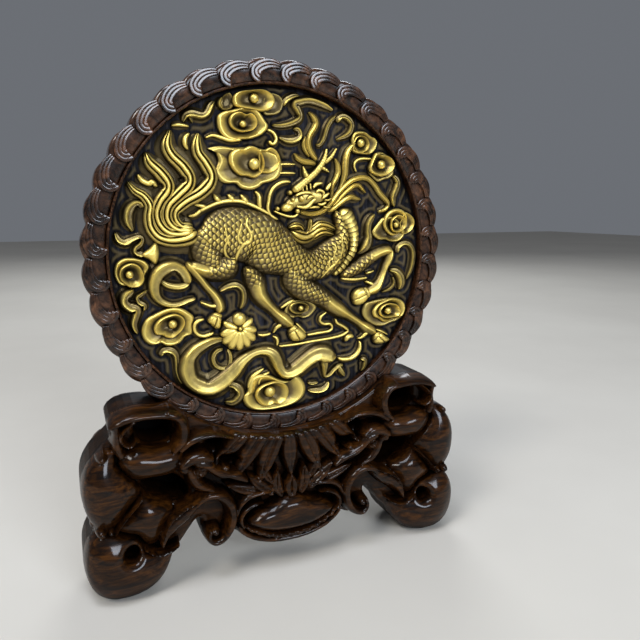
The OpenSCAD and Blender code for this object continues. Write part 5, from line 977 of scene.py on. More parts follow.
def torso_height(x, v):
    """Height of the torso's surface, for what rides on it."""
    c, _ = smooth_run(TORSO[0], 1.0)
    d = np.hypot(x[..., None] - c[:, 0], v[..., None] - c[:, 1])
    e = np.clip((d / (0.5 * np.maximum(c[:, 2], 1))).min(-1), 0, 1)
    return BODY_SHARE * relief() * crown(e)


# Qilin

def build_body():
    """Scaled torso with its flame curls, and the plates up the neck."""
    mesh = Mesh()
    for p in TORSO:
        sweep(mesh, p, relief(), across=101, step=0.36, detail=scaled())
    for p in BODY_FLAMES:
        sweep(mesh, p, FLAME_TOP, step=0.5, lift=torso_height)
    gilded("qilin_torso", mesh)
    mesh = Mesh()
    for p in NECK_PLATES:
        sweep(mesh, p, relief(), across=23, step=0.25, detail=plated(), skirt=0.1, widen=1.2)
    gilded("neck_plates", mesh)


def build_head():
    """Head, antlers, mane, forelock, feeler and beard."""
    mesh = Mesh()
    sweep(mesh, SKULL, relief() * SKULL_SHARE, across=17, step=0.5, skirt=0.12, shade=0.6)
    pad(mesh, SNOUT, relief() * SNOUT_SHARE)
    for foot, p in HEAD_LINES:
        sweep(mesh, p, LINE_TOP, step=0.35, lift=lambda x, v: foot + 0 * x)
    for boss in HEAD_BOSSES:
        dome(mesh, *boss)
    gilded("qilin_head", mesh)
    mesh = Mesh()
    for p in ANTLERS:
        sweep(mesh, p, relief() * ANTLER_SHARE, across=13, step=0.4, detail=knurled(), skirt=0.15)
    gilded("antlers", mesh)
    strands("mane", MANE, locks, 15, widen=1.3)
    strands("forelock", FORELOCK, locks, 15, widen=1.3)
    strands("feeler", FEELER, widen=1.2)
    strands("beard", BEARD, locks, 17, widen=1.8)


def build_legs():
    """Legs with scaled thighs, cloven hooves and spurs, and the flames beside them."""
    for node, (bones, hooves, spurs) in LEGS.items():
        mesh = Mesh()
        for p, until in bones:
            scales = scaled(pitch=3.7, height=2.2, until=until)
            sweep(mesh, p, relief(), bony, across=45, step=0.36, detail=scales, skirt=0.08)
        for outline in hooves:
            hoof(mesh, outline, relief() * HOOF_SHARE, np.array(bones[-1][0][-2][:2]))
        for p in spurs:
            sweep(mesh, p, relief() * HOOF_SHARE, across=11, step=0.5, skirt=0.25)
        gilded(node, mesh)
    strands("leg_flames", LEG_FLAMES)


def build_ball():
    """Ball of ribbed lobes under a pearl."""
    mesh = Mesh()
    dome(mesh, BALL_X, BALL_UP, CORE_R, relief() * CORE_SHARE, shade=0.3)
    for p in BALL:
        sweep(mesh, p, LOBE_TOP, across=13, step=0.4, lift=ball_height, widen=1.2)
    dome(mesh, *PEARL, relief() * PEARL_SHARE)
    dome(mesh, *BALL_KNOT, relief())
    gilded("ribboned_ball", mesh)


def ball_height(x, v):
    """Height of the ball's core, for the lobes that ride on it."""
    share = np.clip(1 - ((x - BALL_X) ** 2 + (v - BALL_UP) ** 2) / LOBE_R ** 2, 0, 1)
    return LOBE_SHARE * relief() * np.sqrt(share)


def build_flare():
    """Left wisps, with the flare at the end of one."""
    mesh = Mesh()
    for p in LEFT_WISPS:
        sweep(mesh, p, relief(), leaning, across=15, skirt=0.25, widen=1.4)
    pad(mesh, FLARE, relief() * FLARE_SHARE)
    gilded("left_wisps", mesh)


def build_tail():
    """Flame tail with its loose tips, and the crest along the back."""
    strands("flame_tail", TAIL, locks, 19, widen=1.75)
    strands("flame_tips", FLAME_TIPS)
    strands("back_crest", BACK_CREST)


# Border, bead and board

def rim_radius(share):
    """Radius of the scalloped edge at a share of one wave's turn."""
    loop = np.array(SCALLOP + [[1, SCALLOP[0][1]]])
    s = np.linspace(0, 1, 41)
    r = np.interp(s, loop[:, 0], loop[:, 1])
    r = np.convolve(np.concatenate([r[-4:-1], r, r[1:4]]), np.ones(7) / 7, "valid")
    return np.interp(np.mod(share, 1), s, r)


def border_ring(mesh):
    """Adds the ring under the waves, from its inner wall over the front and round the scalloped side."""
    n = WAVES * WAVE_SAMPLES
    turn = 2 * math.pi / WAVES
    a = np.linspace(0, 2 * math.pi, n, endpoint=False)
    edge = rim_radius(a / turn)
    base = (FIELD_Y - RIM_Y) / MM - RING_BELOW
    back = (FIELD_Y - PANEL_BACK_Y) / MM
    rows = [(BORDER_R, -1.0), (BORDER_R, base - 0.4), (BORDER_R + 0.6, base), (edge - 2.4, base + 0.5),
            (edge - 0.8, base + 0.2), (edge - 0.1, base - 0.9), (edge, base - 2.2), (edge, back + 2),
            (edge - 0.5, back + 0.6), (edge - 1.6, back), (BOARD_R + 0.2, back), (BOARD_R + 0.2, -1.0),
            (BORDER_R, -1.0)]
    shade = [0.1, 0.3, 0.5, 0.5, 0.7, 0.6, 0.4, 0.4, 0.5, 0.4, 0.3, 0.1, 0.1]
    angle = math.pi / 2 - a
    points = np.stack([np.stack([r * np.cos(angle), r * np.sin(angle), h + 0 * a], -1) for r, h in rows])
    rise = np.array(shade)[:, None] + 0 * a
    mesh.add(points.reshape(-1, 3), strip_faces(len(rows), n), rise.reshape(-1))


def wave_section(e):
    """Nearly flat section of one band of a wave, with a fine groove where it meets the next band."""
    return np.where(np.abs(e) < 0.999, 0.88 + 0.12 * np.sqrt(np.clip(1 - np.abs(e) ** 5, 0, 1)), 0)


def beside(path, offset):
    """One of the bands of a wave: its middle line shifted by a share of the width."""
    c, _ = smooth_run(path, 2.0)
    ahead = unit_tangents(c)
    shift = offset * c[:, 2]
    return np.column_stack([c[:, 0] - ahead[:, 1] * shift, c[:, 1] + ahead[:, 0] * shift, BAND_WIDTH * c[:, 2]])


def build_border():
    """Ring with its waves, each of three bands side by side."""
    mesh = Mesh()
    border_ring(mesh)
    turn = 2 * math.pi / WAVES
    base = (FIELD_Y - RIM_Y) / MM - WAVE_BELOW
    for j in range(WAVES):
        path = []
        for degrees, r, w in WAVE:
            a = math.pi / 2 - j * turn - degrees * turn / 10
            path.append([r * math.cos(a), r * math.sin(a), w])
        for offset in BAND_SHIFTS:
            band = beside(path, offset)
            sweep(mesh, band, WAVE_TOP, wave_section, across=11, step=0.5, lift=lambda x, v: base + 0 * x)
    points = place_on_field(np.vstack(mesh.points))
    rise = np.concatenate(mesh.rise)
    new_object("carved_wave_border", points, mesh.faces, rise, border_material(), "panel", "wave_border")


def carved_feet():
    """Places on the field where gilded carvings meet it, as a search tree."""
    feet = []
    for piece in bpy.data.objects:
        if piece.name.startswith("carved_") and piece.data.materials[0].name == "worn_gilt":
            co = np.empty(3 * len(piece.data.vertices), np.float32)
            piece.data.vertices.foreach_get("co", co)
            co = co.reshape(-1, 3)
            feet.append(co[co[:, 1] > FIELD_Y - FOOT_LEVEL][:, [0, 2]])
    feet = np.vstack(feet)
    tree = KDTree(len(feet))
    for i, (x, z) in enumerate(feet):
        tree.insert((x, z, 0), i)
    tree.balance()
    return tree


def build_ground():
    """Board behind the relief, whose front rises in soft echoes beside the carvings."""
    line = np.arange(-BOARD_R - GROUND_STEP, BOARD_R + 2 * GROUND_STEP, GROUND_STEP)
    x, v = np.meshgrid(line, line, indexing="ij")
    r = np.hypot(x, v)
    pull = np.minimum(1, BOARD_R / np.maximum(r, 1e-6))
    near = r < BOARD_R + 0.8 * GROUND_STEP
    keep = near[:-1, :-1] & near[1:, :-1] & near[1:, 1:] & near[:-1, 1:]
    flat = np.column_stack([(x * pull).ravel() * SCALE, PANEL_Z + (v * pull).ravel() * SCALE])
    rise = echo_height(flat) * np.clip((FIELD_R - r.ravel()) / FIELD_FADE, 0, 1)
    points = np.column_stack([flat[:, 0], FIELD_Y - rise * MM, flat[:, 1]])
    quads = grid_quads(x.shape, keep)
    walls, wall_faces = edge_walls(quads, points, PANEL_BACK_Y)
    turn = np.argsort(np.arctan2(walls[:, 2] - PANEL_Z, walls[:, 0]))
    faces = quads.tolist() + wall_faces + [[len(points) + int(i) for i in turn[::-1]]]
    rise = np.concatenate([rise, np.zeros(len(walls))])
    points, rise, faces = compact(np.vstack([points, walls]), rise, faces)
    board = new_object("carved_ground", points, faces, rise, field_material(), "panel", "ground_board").data
    board.materials.append(back_material())
    board.polygons[len(faces) - 1].material_index = 1


def echo_height(places):
    """Height of the ridges that echo the carvings, at places on the field."""
    tree = carved_feet()
    d = np.array([tree.find((x, z, 0))[2] for x, z in places]) / MM
    ripple = (0.5 - 0.5 * np.cos(2 * math.pi * d / ECHO_GAP)) ** 2
    return ECHO_HEIGHT * ripple * np.exp(-d / ECHO_FADE)


def dress(node, material):
    """Gives a CAD node that keeps its shape a better material."""
    data = frame["nodes"][node].data
    data.materials.clear()
    data.materials.append(material)


# Stand

def inside_distance(loop, x, z):
    """Distance to a closed outline, positive inside it."""
    a, b = loop, np.roll(loop, -1, axis=0)
    best = np.full(x.shape, 1e9)
    odd = np.zeros(x.shape, bool)
    for (ax, az), (bx, bz) in zip(a, b):
        ex, ez = bx - ax, bz - az
        t = np.clip(((x - ax) * ex + (z - az) * ez) / max(ex * ex + ez * ez, 1e-9), 0, 1)
        best = np.minimum(best, np.hypot(x - ax - t * ex, z - az - t * ez))
        if az != bz:
            odd ^= ((az > z) != (bz > z)) & (x < ex * (z - az) / ez + ax)
    return np.where(odd, best, -best)


def boxed(loop, reach, x, z):
    """Places inside the box round an outline, grown by a reach."""
    low, high = loop[:, :2].min(0) - reach, loop[:, :2].max(0) + reach
    return (x > low[0]) & (x < high[0]) & (z > low[1]) & (z < high[1])


def band_form(points, x, z):
    """Place across a band, 0 to 1 at its edge, which side it is on, and the length along the band."""
    c, length = smooth_run(points, BAND_STEP)
    ahead = np.gradient(c[:, :2], axis=0)
    box = boxed(c, c[:, 2].max() / 2, x, z)
    bx, bz = x[box], z[box]
    best, side, along = np.full(bx.shape, OFF_BAND), np.zeros(bx.shape), np.zeros(bx.shape)
    for (px, pz, w), (tx, tz), run in zip(c, ahead, length):
        share = np.hypot(bx - px, bz - pz) / (0.5 * max(w, 0.8))
        nearer = share < best
        best = np.where(nearer, share, best)
        side = np.where(nearer, np.sign((bx - px) * tz - (bz - pz) * tx), side)
        along = np.where(nearer, run, along)
    result = [np.full(x.shape, value) for value in (OFF_BAND, 0.0, 0.0)]
    for whole, part in zip(result, (best, side, along)):
        whole[box] = part
    return result


def roll_off(d, r):
    """Depth that a rounded edge of radius r falls away at distance d from it."""
    return r - np.sqrt(r * r - (r - np.clip(d, 0, r)) ** 2)


def stand_domain(x, z):
    """Distances to the stand's outline, to its holes and to the lip, each positive on the wood."""
    run, _ = smooth_run(STAND_EDGE, 1.0)
    run[:, 1] = np.maximum(run[:, 1], 0)
    loop = np.vstack([run, [[0, ABOVE]], run[::-1] * [-1, 1]])
    outline = inside_distance(loop, x, z)
    holes = np.full(x.shape, 99.0)
    for hole in (UPPER_HOLE, BIG_HOLE, RIM_HOLE, LEAF_HOLE, FOOT_HOLE):
        holes = np.minimum(holes, -inside_distance(smooth_loop(hole, 6), np.abs(x), z))
    lip = np.hypot(x, z - PANEL_UP) - LIP_R
    return outline, holes, lip


def highest(forms):
    """The highest of several forms at each place."""
    return np.maximum.reduce(list(forms))


def blurred(field, cells):
    """A field averaged over some cells to each side, twice."""
    for axis in (0, 1, 0, 1):
        field = np.apply_along_axis(evened, axis, field, cells)
    return field


def pillow_form(form, x, z):
    """Height of a swelling form."""
    high, depth, outline = form
    loop = smooth_loop(outline, 5)
    box = boxed(loop, 0, x, z)
    d = np.zeros(x.shape)
    d[box] = np.maximum(inside_distance(loop, x[box], z[box]), 0)
    cells = max(1, int(PILLOW_SOFT * depth * (x.shape[0] - 1) / np.ptp(x)))
    soft = blurred(np.minimum(d / depth, 1), cells)
    t = np.clip(np.minimum(soft, d / (PILLOW_STEEP * depth)), 0, 1)
    return (high + SUNK) * np.sqrt(1 - (1 - t) ** 2)


def roll_form(form, x, z):
    """Height of a rounded band."""
    high, points = form
    return (high + SUNK) * crown(np.clip(band_form(points, x, z)[0], 0, 1))


def beaded_form(form, x, z):
    """Height of a rounded band with beads along it."""
    high, points = form
    across, _, along = band_form(points, x, z)
    beads = BEAD_H * np.cos(BEAD_TURN * along) - BEAD_H
    return (high + SUNK + beads) * crown(np.clip(across, 0, 1))


def blade_form(form, x, z):
    """Height of a leaf that is sharp on its upper side, with a groove along its middle."""
    high, points = form
    across, side, _ = band_form(points, x, z)
    groove = VEIN_DEPTH * bump_at(across, 0, VEIN_WIDTH) * (across < 1)
    tilt = 1 - LEAF_TILT + LEAF_TILT * side * across
    return (high + SUNK) * np.clip(1 - across ** 4, 0, 1) ** 0.5 * tilt - groove


def bud_form(bud, x, z):
    """Height of a round bud."""
    bx, bz, r, high = bud
    return (high + SUNK) * crown(np.clip(np.hypot(x - bx, z - bz) / r, 0, 1))


def burl_form(knot, x, z):
    """Roughness of a burl, to be added to the form below it."""
    kx, kz, r = knot
    d = np.hypot(x - kx, z - kz)
    rough = 0.6 * np.sin(5.2 * d) + 0.5 * np.sin(2.1 * x + 1.3 * z) * np.sin(1.7 * z)
    return np.where(d < r, rough * (1 - (d / r) ** 2), 0)


def carved_forms(x, z):
    """Heights of the carved forms above the sunk ground by owner, drawn on the right half and mirrored."""
    s = np.abs(x)
    scroll = highest([pillow_form(f, s, z) for f in SCROLL_PILLOWS] + [roll_form(f, s, z) for f in SCROLL_BANDS]
                     + [bud_form(f, s, z) for f in SCROLL_BUDS])
    branch = highest([roll_form(f, s, z) for f in BRANCH_BANDS] + [bud_form(f, s, z) for f in BRANCH_BUDS])
    branch = branch + sum(burl_form(f, s, z) for f in KNOTS) * (branch > 1)
    leaves = highest(blade_form(f, s, z) for f in FAN_LEAVES)
    pendant = highest([pillow_form(PENDANT_PILLOW, x, z), beaded_form(PENDANT_RIM, s, z)]
                      + [roll_form(f, s, z) for f in PENDANT_BANDS])
    return scroll, branch, leaves, pendant


def wood_distance(x, z, pierced):
    """Distance to the nearest edge of the stand's face, positive on the wood."""
    outline, holes, lip = stand_domain(x, z)
    return np.minimum.reduce([outline, holes, lip] if pierced else [outline, lip])


def drawn_to_edge(x, z, pierced):
    """Places moved to the nearest edge of the stand's face."""
    for _ in range(3):
        d = wood_distance(x, z, pierced)
        gx = (wood_distance(x + PROBE, z, pierced) - d) / PROBE
        gz = (wood_distance(x, z + PROBE, pierced) - d) / PROBE
        size = np.maximum(gx * gx + gz * gz, 0.5)
        x, z = x - d * gx / size, z - d * gz / size
    return x, z


def face_grid(step, pierced):
    """Grid over the stand's face, drawn to its edges, with the cells that lie on the wood."""
    across = np.arange(-FACE_HALF, FACE_HALF + 0.01, step)
    x, z = np.meshgrid(across, np.arange(FACE_LOW, FACE_HIGH, step), indexing="ij")
    d = wood_distance(x, z, pierced)
    keep = np.maximum.reduce([d[:-1, :-1], d[1:, :-1], d[1:, 1:], d[:-1, 1:]]) > EDGE_SHARE * step
    edge = (d <= EDGE_SHARE * step) & (d > -1.5 * step)
    x[edge], z[edge] = drawn_to_edge(x[edge], z[edge], pierced)
    return x, z, keep


def grid_quads(shape, keep):
    """Corner numbers of the kept cells of a grid."""
    number = np.arange(shape[0] * shape[1]).reshape(shape)
    i, j = np.nonzero(keep)
    return np.stack([number[i, j], number[i + 1, j], number[i + 1, j + 1], number[i, j + 1]], -1)


def rim_edges(quads):
    """Open edges of a face."""
    pairs = np.concatenate([quads[:, [k, (k + 1) % 4]] for k in range(4)]).tolist()
    known = set(map(tuple, pairs))
    return [(a, b) for a, b in pairs if (b, a) not in known]


def edge_walls(quads, points, level):
    """Walls from the open edges of a face back to a level, as more points and faces."""
    rim = rim_edges(quads)
    used = sorted({i for pair in rim for i in pair})
    low = {i: len(points) + n for n, i in enumerate(used)}
    extra = points[used].copy()
    extra[:, 1] = level
    return extra, [(b, a, low[a], low[b]) for a, b in rim]


def block(quads, front, back):
    """A closed form between two faces with the same cells, as points and faces."""
    n = len(front)
    cells = quads.tolist()
    walls = [(b, a, a + n, b + n) for a, b in rim_edges(quads)]
    return np.vstack([front, back]), cells + [[i + n for i in cell[::-1]] for cell in cells] + walls


def compact(points, rise, faces):
    """Only the points that the faces use."""
    used = np.unique(np.concatenate([np.asarray(f) for f in faces]))
    place = np.full(len(points), -1)
    place[used] = np.arange(len(used))
    return points[used], rise[used], [tuple(int(place[i]) for i in f) for f in faces]


def build_front():
    """Front board, sunk between the carvings, and the carvings that stand on it."""
    x, z, keep = face_grid(settings().front_step / MM, True)
    outline, holes, lip = stand_domain(x, z)
    forms = carved_forms(x, z)
    total = highest(forms)
    ground = -SUNK - roll_off(outline, EDGE_ROUND) - roll_off(holes, HOLE_ROUND) - roll_off(lip, LIP_ROUND)

    def face_at(height):
        """Points of the front at a height over each place of the grid."""
        y = FRONT_Y - np.maximum(height, LEAST_WOOD - BOARD_T) * MM
        return np.stack([x * SCALE, y, z * SCALE], -1).reshape(-1, 3)

    front = face_at(ground + total)
    sunk = face_at(ground + np.minimum(total, SEAM))
    seat = face_at(ground - SEAT)
    rise = np.clip(total / (FULL_RISE + SUNK), 0, 1).reshape(-1)
    quads = grid_quads(x.shape, keep)
    heights = total.reshape(-1)[quads]
    top = quads[np.arange(len(quads)), heights.argmax(1)]
    owner = np.where(heights.max(1) > SEAM, np.argmax(np.stack(forms), 0).reshape(-1)[top], -1)
    left = front[quads[:, 0], 0] < 0
    share = {"left_scroll": (owner == 0) & left, "right_scroll": (owner == 0) & ~left,
             "left_branch": (owner == 1) & left, "right_branch": (owner == 1) & ~left,
             "leaf_fan": owner == 2, "pendant": owner == 3}
    for node, mine in share.items():
        p, faces = block(quads[mine], front, seat)
        stand_piece(node, p, faces, np.concatenate([rise, rise]))
    walls, wall_faces = edge_walls(quads, sunk, SLOT_FRONT_Y)
    rise = np.concatenate([rise, np.full(len(walls), INSIDE)])
    stand_piece("front_board", np.vstack([sunk, walls]), quads.tolist() + wall_faces, rise, (0, 1, 0))


def stand_piece(node, points, faces, rise, flat_side=None):
    """Makes one carved piece of the stand."""
    points, rise, faces = compact(points, rise, faces)
    new_object("carved_" + node, points, faces, rise, stand_material(), "stand", node, flat_side)


def build_back():
    """Rounded back of the stand, with the same forms carved low."""
    x, z, keep = face_grid(settings().back_step / MM, False)
    outline, _, lip = stand_domain(x, z)
    low = highest(carved_forms(x, z)) * BACK_SHARE
    height = low - BACK_SUNK - roll_off(outline, EDGE_ROUND) - roll_off(lip, LIP_ROUND)
    outer = np.stack([x * SCALE, BACK_Y + height * MM, z * SCALE], -1).reshape(-1, 3)
    quads = grid_quads(x.shape, keep)
    walls, wall_faces = edge_walls(quads, outer, SLOT_BACK_Y)
    faces = [f[::-1] for f in quads.tolist() + wall_faces]
    rise = np.concatenate([np.clip(low / BACK_RISE, 0, 1).reshape(-1), np.full(len(walls), INSIDE)])
    stand_piece("back_board", np.vstack([outer, walls]), faces, rise, (0, -1, 0))
    for node in ("left_upright", "right_upright", "seat_rail", "dowels"):
        dress(node, side_material())


# Materials

def new_material(name):
    """An empty node material with its shader, or the one made before."""
    made = bpy.data.materials.get(name)
    if made:
        return made, None, None
    m = bpy.data.materials.new(name)
    m.use_nodes = True
    return m, m.node_tree, m.node_tree.nodes["Principled BSDF"]


def add_node(tree, kind, links=(), **values):
    """Adds a node, sets its plain values and links its inputs."""
    n = tree.nodes.new(kind)
    for key, value in values.items():
        setattr(n, key, value)
    for key, source in links:
        if isinstance(source, (int, float, tuple)):
            n.inputs[key].default_value = source
        else:
            tree.links.new(source, n.inputs[key])
    return n


def ramp(tree, factor, *stops):
    """A colour ramp of (place, colour) stops."""
    n = add_node(tree, "ShaderNodeValToRGB", [("Fac", factor)])
    while len(n.color_ramp.elements) < len(stops):
        n.color_ramp.elements.new(0.5)
    for element, (place, colour) in zip(n.color_ramp.elements, stops):
        element.position = place
        element.color = (*colour, 1)
    return n.outputs["Color"]


def noise(tree, stretch, scale, detail=5.0, distortion=0.0):
    """Noise in the frame of the CAD model, stretched along chosen axes."""
    place = add_node(tree, "ShaderNodeTexCoord").outputs["Object"]
    m = add_node(tree, "ShaderNodeMapping", [("Vector", place)])
    m.inputs["Scale"].default_value = stretch
    links = [("Vector", m.outputs["Vector"]), ("Scale", scale), ("Detail", detail), ("Roughness", 0.6),
             ("Distortion", distortion)]
    return add_node(tree, "ShaderNodeTexNoise", links).outputs["Fac"]


def mixed(tree, factor, a, b, blend="MIX"):
    """Two colours mixed by a factor."""
    n = add_node(tree, "ShaderNodeMix", data_type="RGBA", blend_type=blend)
    for socket, source in ((n.inputs[0], factor), (n.inputs[6], a), (n.inputs[7], b)):
        if isinstance(source, (int, float, tuple)):
            socket.default_value = source
        else:
            tree.links.new(source, socket)
    return n.outputs[2]


def spread(tree, factor, low, high, start=0.0, end=1.0):
    """A number from low to high as a factor goes from start to end."""
    n = add_node(tree, "ShaderNodeMapRange", [("Value", factor), ("From Min", start), ("From Max", end),
                                              ("To Min", low), ("To Max", high)])
    return n.outputs["Result"]


def math_node(tree, operation, *values):
    """Result of one sum."""
    return add_node(tree, "ShaderNodeMath", list(enumerate(values)), operation=operation).outputs[0]


def bumped(tree, shader, height, strength, distance):
    """Small relief from a height."""
    n = add_node(tree, "ShaderNodeBump", [("Height", height), ("Strength", strength), ("Distance", distance)])
    tree.links.new(n.outputs["Normal"], shader.inputs["Normal"])


def hollows(tree, reach):
    """Openness of a place, from 0 in a crevice to 1 in the open."""
    n = add_node(tree, "ShaderNodeAmbientOcclusion", [("Distance", reach)], samples=8)
    return n.outputs["AO"]


def tinted(colour, share):
    """A colour made darker or brighter by a share."""
    return tuple(share * v for v in colour)


def gilt_material():
    """Worn gilding over dark lacquered carving: bright on the crests, brown in the hollows, where painted shade
    also darkens the crevices.
    """
    m, tree, shader = new_material("worn_gilt")
    if tree is None:
        return m
    bright, patina = tuple(settings().gold_colour), tuple(settings().patina_colour)
    rise = add_node(tree, "ShaderNodeAttribute", attribute_name="rise").outputs["Fac"]
    wear = noise(tree, (1, 1, 1), 260, 6, 0.4)
    worn = math_node(tree, "SUBTRACT", wear, 0.5)
    level = math_node(tree, "MULTIPLY_ADD", worn, 0.4, rise)
    middle = tuple(0.42 * b + 0.5 * p for b, p in zip(bright, patina))
    gold = ramp(tree, level, (0.04, tinted(patina, 0.45)), (0.28, patina), (0.52, middle),
                (0.72, tinted(bright, 0.72)), (0.98, bright))
    # Painted shade: the gold is darkened where the carving is hemmed in, in its crevices and hollows
    painted_shade = ramp(tree, hollows(tree, GILT_HOLLOW), (0.25, (0.12, 0.10, 0.08)), (0.85, (1, 1, 1)))
    tree.links.new(mixed(tree, 1.0, gold, painted_shade, "MULTIPLY"), shader.inputs["Base Color"])
    shader.inputs["Metallic"].default_value = 0.75
    tree.links.new(spread(tree, wear, 0.26, 0.5), shader.inputs["Roughness"])
    bumped(tree, shader, noise(tree, (1, 1, 1), 900, 4), 0.25, 0.0004)
    return m


def wood(name, stretch, scale, middle, rough, polish, bump):
    """Wood with streaked grain, a middle tone and painted shade in its hollows. rough is the least and most
    roughness under the polish, and polish is its weight, refractive index and roughness."""
    m, tree, shader = new_material(name)
    if tree is None:
        return m
    grain = noise(tree, stretch, scale, 8, 1.2)
    pores = noise(tree, tuple(4 * v for v in stretch), scale, 3)
    colour = ramp(tree, grain, (0.38, tinted(middle, 0.2)), (0.52, middle), (0.68, tinted(middle, 2.5)))
    streak = ramp(tree, pores, (0.36, (0.35, 0.33, 0.32)), (0.56, (1, 1, 1)))
    colour = mixed(tree, 0.8, colour, streak, "MULTIPLY")
    open_air = hollows(tree, WOOD_HOLLOW)
    # Painted shade: the wood's colour darkens in its crevices and hollows
    painted_shade = ramp(tree, open_air, (0.16, (0.1, 0.09, 0.09)), (0.5, (0.68, 0.64, 0.6)), (0.9, (1, 1, 1)))
    colour = mixed(tree, 1.0, colour, painted_shade, "MULTIPLY")
    rise = add_node(tree, "ShaderNodeAttribute", attribute_name="rise").outputs["Fac"]
    outside = spread(tree, rise, 0.0, 1.0, INSIDE, 0.0)
    # Edges and inner faces, marked INSIDE in rise, are made far darker than the face and lose their polish
    inside_darkening = ramp(tree, outside, (0.0, (0.12, 0.1, 0.1)), (1.0, (1, 1, 1)))
    tree.links.new(mixed(tree, 1.0, colour, inside_darkening, "MULTIPLY"), shader.inputs["Base Color"])
    tree.links.new(spread(tree, pores, rough[1], rough[0]), shader.inputs["Roughness"])
    shader.inputs["Specular IOR Level"].default_value = 0.05
    weight, shader.inputs["Coat IOR"].default_value, shader.inputs["Coat Roughness"].default_value = polish
    gloss = spread(tree, open_air, 0.0, weight, 0.2, 0.8)
    tree.links.new(math_node(tree, "MULTIPLY", gloss, outside), shader.inputs["Coat Weight"])
    bumped(tree, shader, pores, bump, 0.0003)
    return m


def stand_material():
    """Glossy dark wood of the stand, with its grain along the boards."""
    return wood("polished_stand", stretch=(10, 60, 75), scale=3.2, middle=tuple(settings().stand_colour),
                rough=(0.4, 0.55), polish=(0.46, 1.45, 0.11), bump=0.3)


def side_material():
    """The same wood on the frame between the boards, drawn darker and with little polish."""
    return wood("darker_frame", stretch=(10, 60, 75), scale=3.2, middle=tinted(settings().stand_colour, 0.5),
                rough=(0.4, 0.6), polish=(0.1, 1.45, 0.3), bump=0.3)


def border_material():
    """Polished brown wood of the waves, grained alike all round the ring."""
    return wood("polished_border", stretch=(40, 40, 40), scale=3.0, middle=tuple(settings().border_colour),
                rough=(0.3, 0.42), polish=(0.7, 1.6, 0.17), bump=0.2)


def bead_material():
    """The border's wood on the thin bead, with a finer grain and less polish."""
    return wood("polished_bead", stretch=(90, 90, 90), scale=4.0, middle=tuple(settings().border_colour),
                rough=(0.25, 0.4), polish=(0.3, 1.6, 0.2), bump=0.6)


def back_material():
    """Plain wood on the back of the panel, with upright grain."""
    return wood("plain_back", stretch=(75, 60, 8), scale=3.2, middle=tinted(settings().border_colour, 0.5),
                rough=(0.36, 0.5), polish=(0.3, 1.5, 0.2), bump=0.4)


def field_material():
    """Dark grained board, paler and browner on the slopes beside the carvings. Its blue-grey tone is partly a
    dark stain and partly a painted cool sheen.
    """
    fresh = bpy.data.materials.get("dark_ground") is None
    m = wood("dark_ground", stretch=(90, 60, 7), scale=3.0, middle=tuple(settings().ground_and_sheen_colour),
             rough=(0.46, 0.62), polish=(0.0, 1.5, 0.5), bump=0.8)
    if fresh:
        tree = m.node_tree
        colour = tree.nodes["Principled BSDF"].inputs["Base Color"]
        rise = add_node(tree, "ShaderNodeAttribute", attribute_name="rise").outputs["Fac"]
        slope = ramp(tree, rise, (0.15, (0, 0, 0)), (0.8, (0.44, 0.44, 0.44)))
        tree.links.new(mixed(tree, slope, colour.links[0].from_socket, (*settings().patina_colour, 1)), colour)
    return m


def floor_material():
    """Pale matt floor, faintly clouded."""
    m, tree, shader = new_material("pale_floor")
    if tree is None:
        return m
    dark, pale = FLOOR_TONES
    colour = ramp(tree, noise(tree, (1, 1, 1), 3, 4), (0.3, dark), (0.7, pale))
    tree.links.new(colour, shader.inputs["Base Color"])
    shader.inputs["Roughness"].default_value = 0.95
    return m


# Stage

def add_lamp(name, place, size, power, colour, beam):
    """One soft lamp turned to the middle of the panel."""
    data = bpy.data.lights.new(name, "AREA")
    data.shape = "RECTANGLE"
    data.size, data.size_y = size
    data.energy = power
    data.color = colour
    data.spread = beam
    lamp = bpy.data.objects.new(name, data)
    lamp.location = place
    lamp.rotation_euler = (Vector((0, 0, PANEL_Z)) - Vector(place)).to_track_quat("-Z", "Y").to_euler()
    bpy.context.scene.collection.objects.link(lamp)


def add_floor(scene):
    """Plain square floor under the screen."""
    h = FLOOR_HALF
    data = bpy.data.meshes.new("floor")
    data.from_pydata([(-h, -h, 0), (h, -h, 0), (h, h, 0), (-h, h, 0)], [], [(0, 1, 2, 3)])
    data.materials.append(floor_material())
    floor = bpy.data.objects.new("floor", data)
    scene.collection.objects.link(floor)


def add_sky(scene):
    """Even soft light from all round."""
    world = bpy.data.worlds.new("studio")
    world.use_nodes = True
    sky = world.node_tree.nodes["Background"]
    sky.inputs["Color"].default_value = SKY_COLOUR
    sky.inputs["Strength"].default_value = SKY_STRENGTH
    scene.world = world


def build_stage():
    """Pale floor, soft light and the camera at the photograph's angle."""
    scene = bpy.context.scene
    add_floor(scene)
    add_sky(scene)
    for name, (place, size, power, colour, beam) in LAMPS.items():
        add_lamp(name, place, size, power, colour, beam)
    scene.view_settings.view_transform = "Standard"
    add_camera(scene)


def add_camera(scene):
    """Camera at the photograph's view: place in millimetres, turn in degrees, focal length in pixels."""
    place = Vector((-116.4, -341.6, 217.9)) * MM
    yaw, pitch = math.radians(22.77), math.radians(10.6)
    focal_px, image_px, sensor = 603.4, 640, 36.0
    data = bpy.data.cameras.new("camera")
    data.sensor_width = sensor
    data.lens = focal_px * sensor / image_px
    camera = bpy.data.objects.new("camera", data)
    camera.location = place
    look = Vector((math.sin(yaw) * math.cos(pitch), math.cos(yaw) * math.cos(pitch), -math.sin(pitch)))
    camera.rotation_euler = look.to_track_quat("-Z", "Y").to_euler()
    scene.collection.objects.link(camera)
    scene.camera = camera


# Add-on

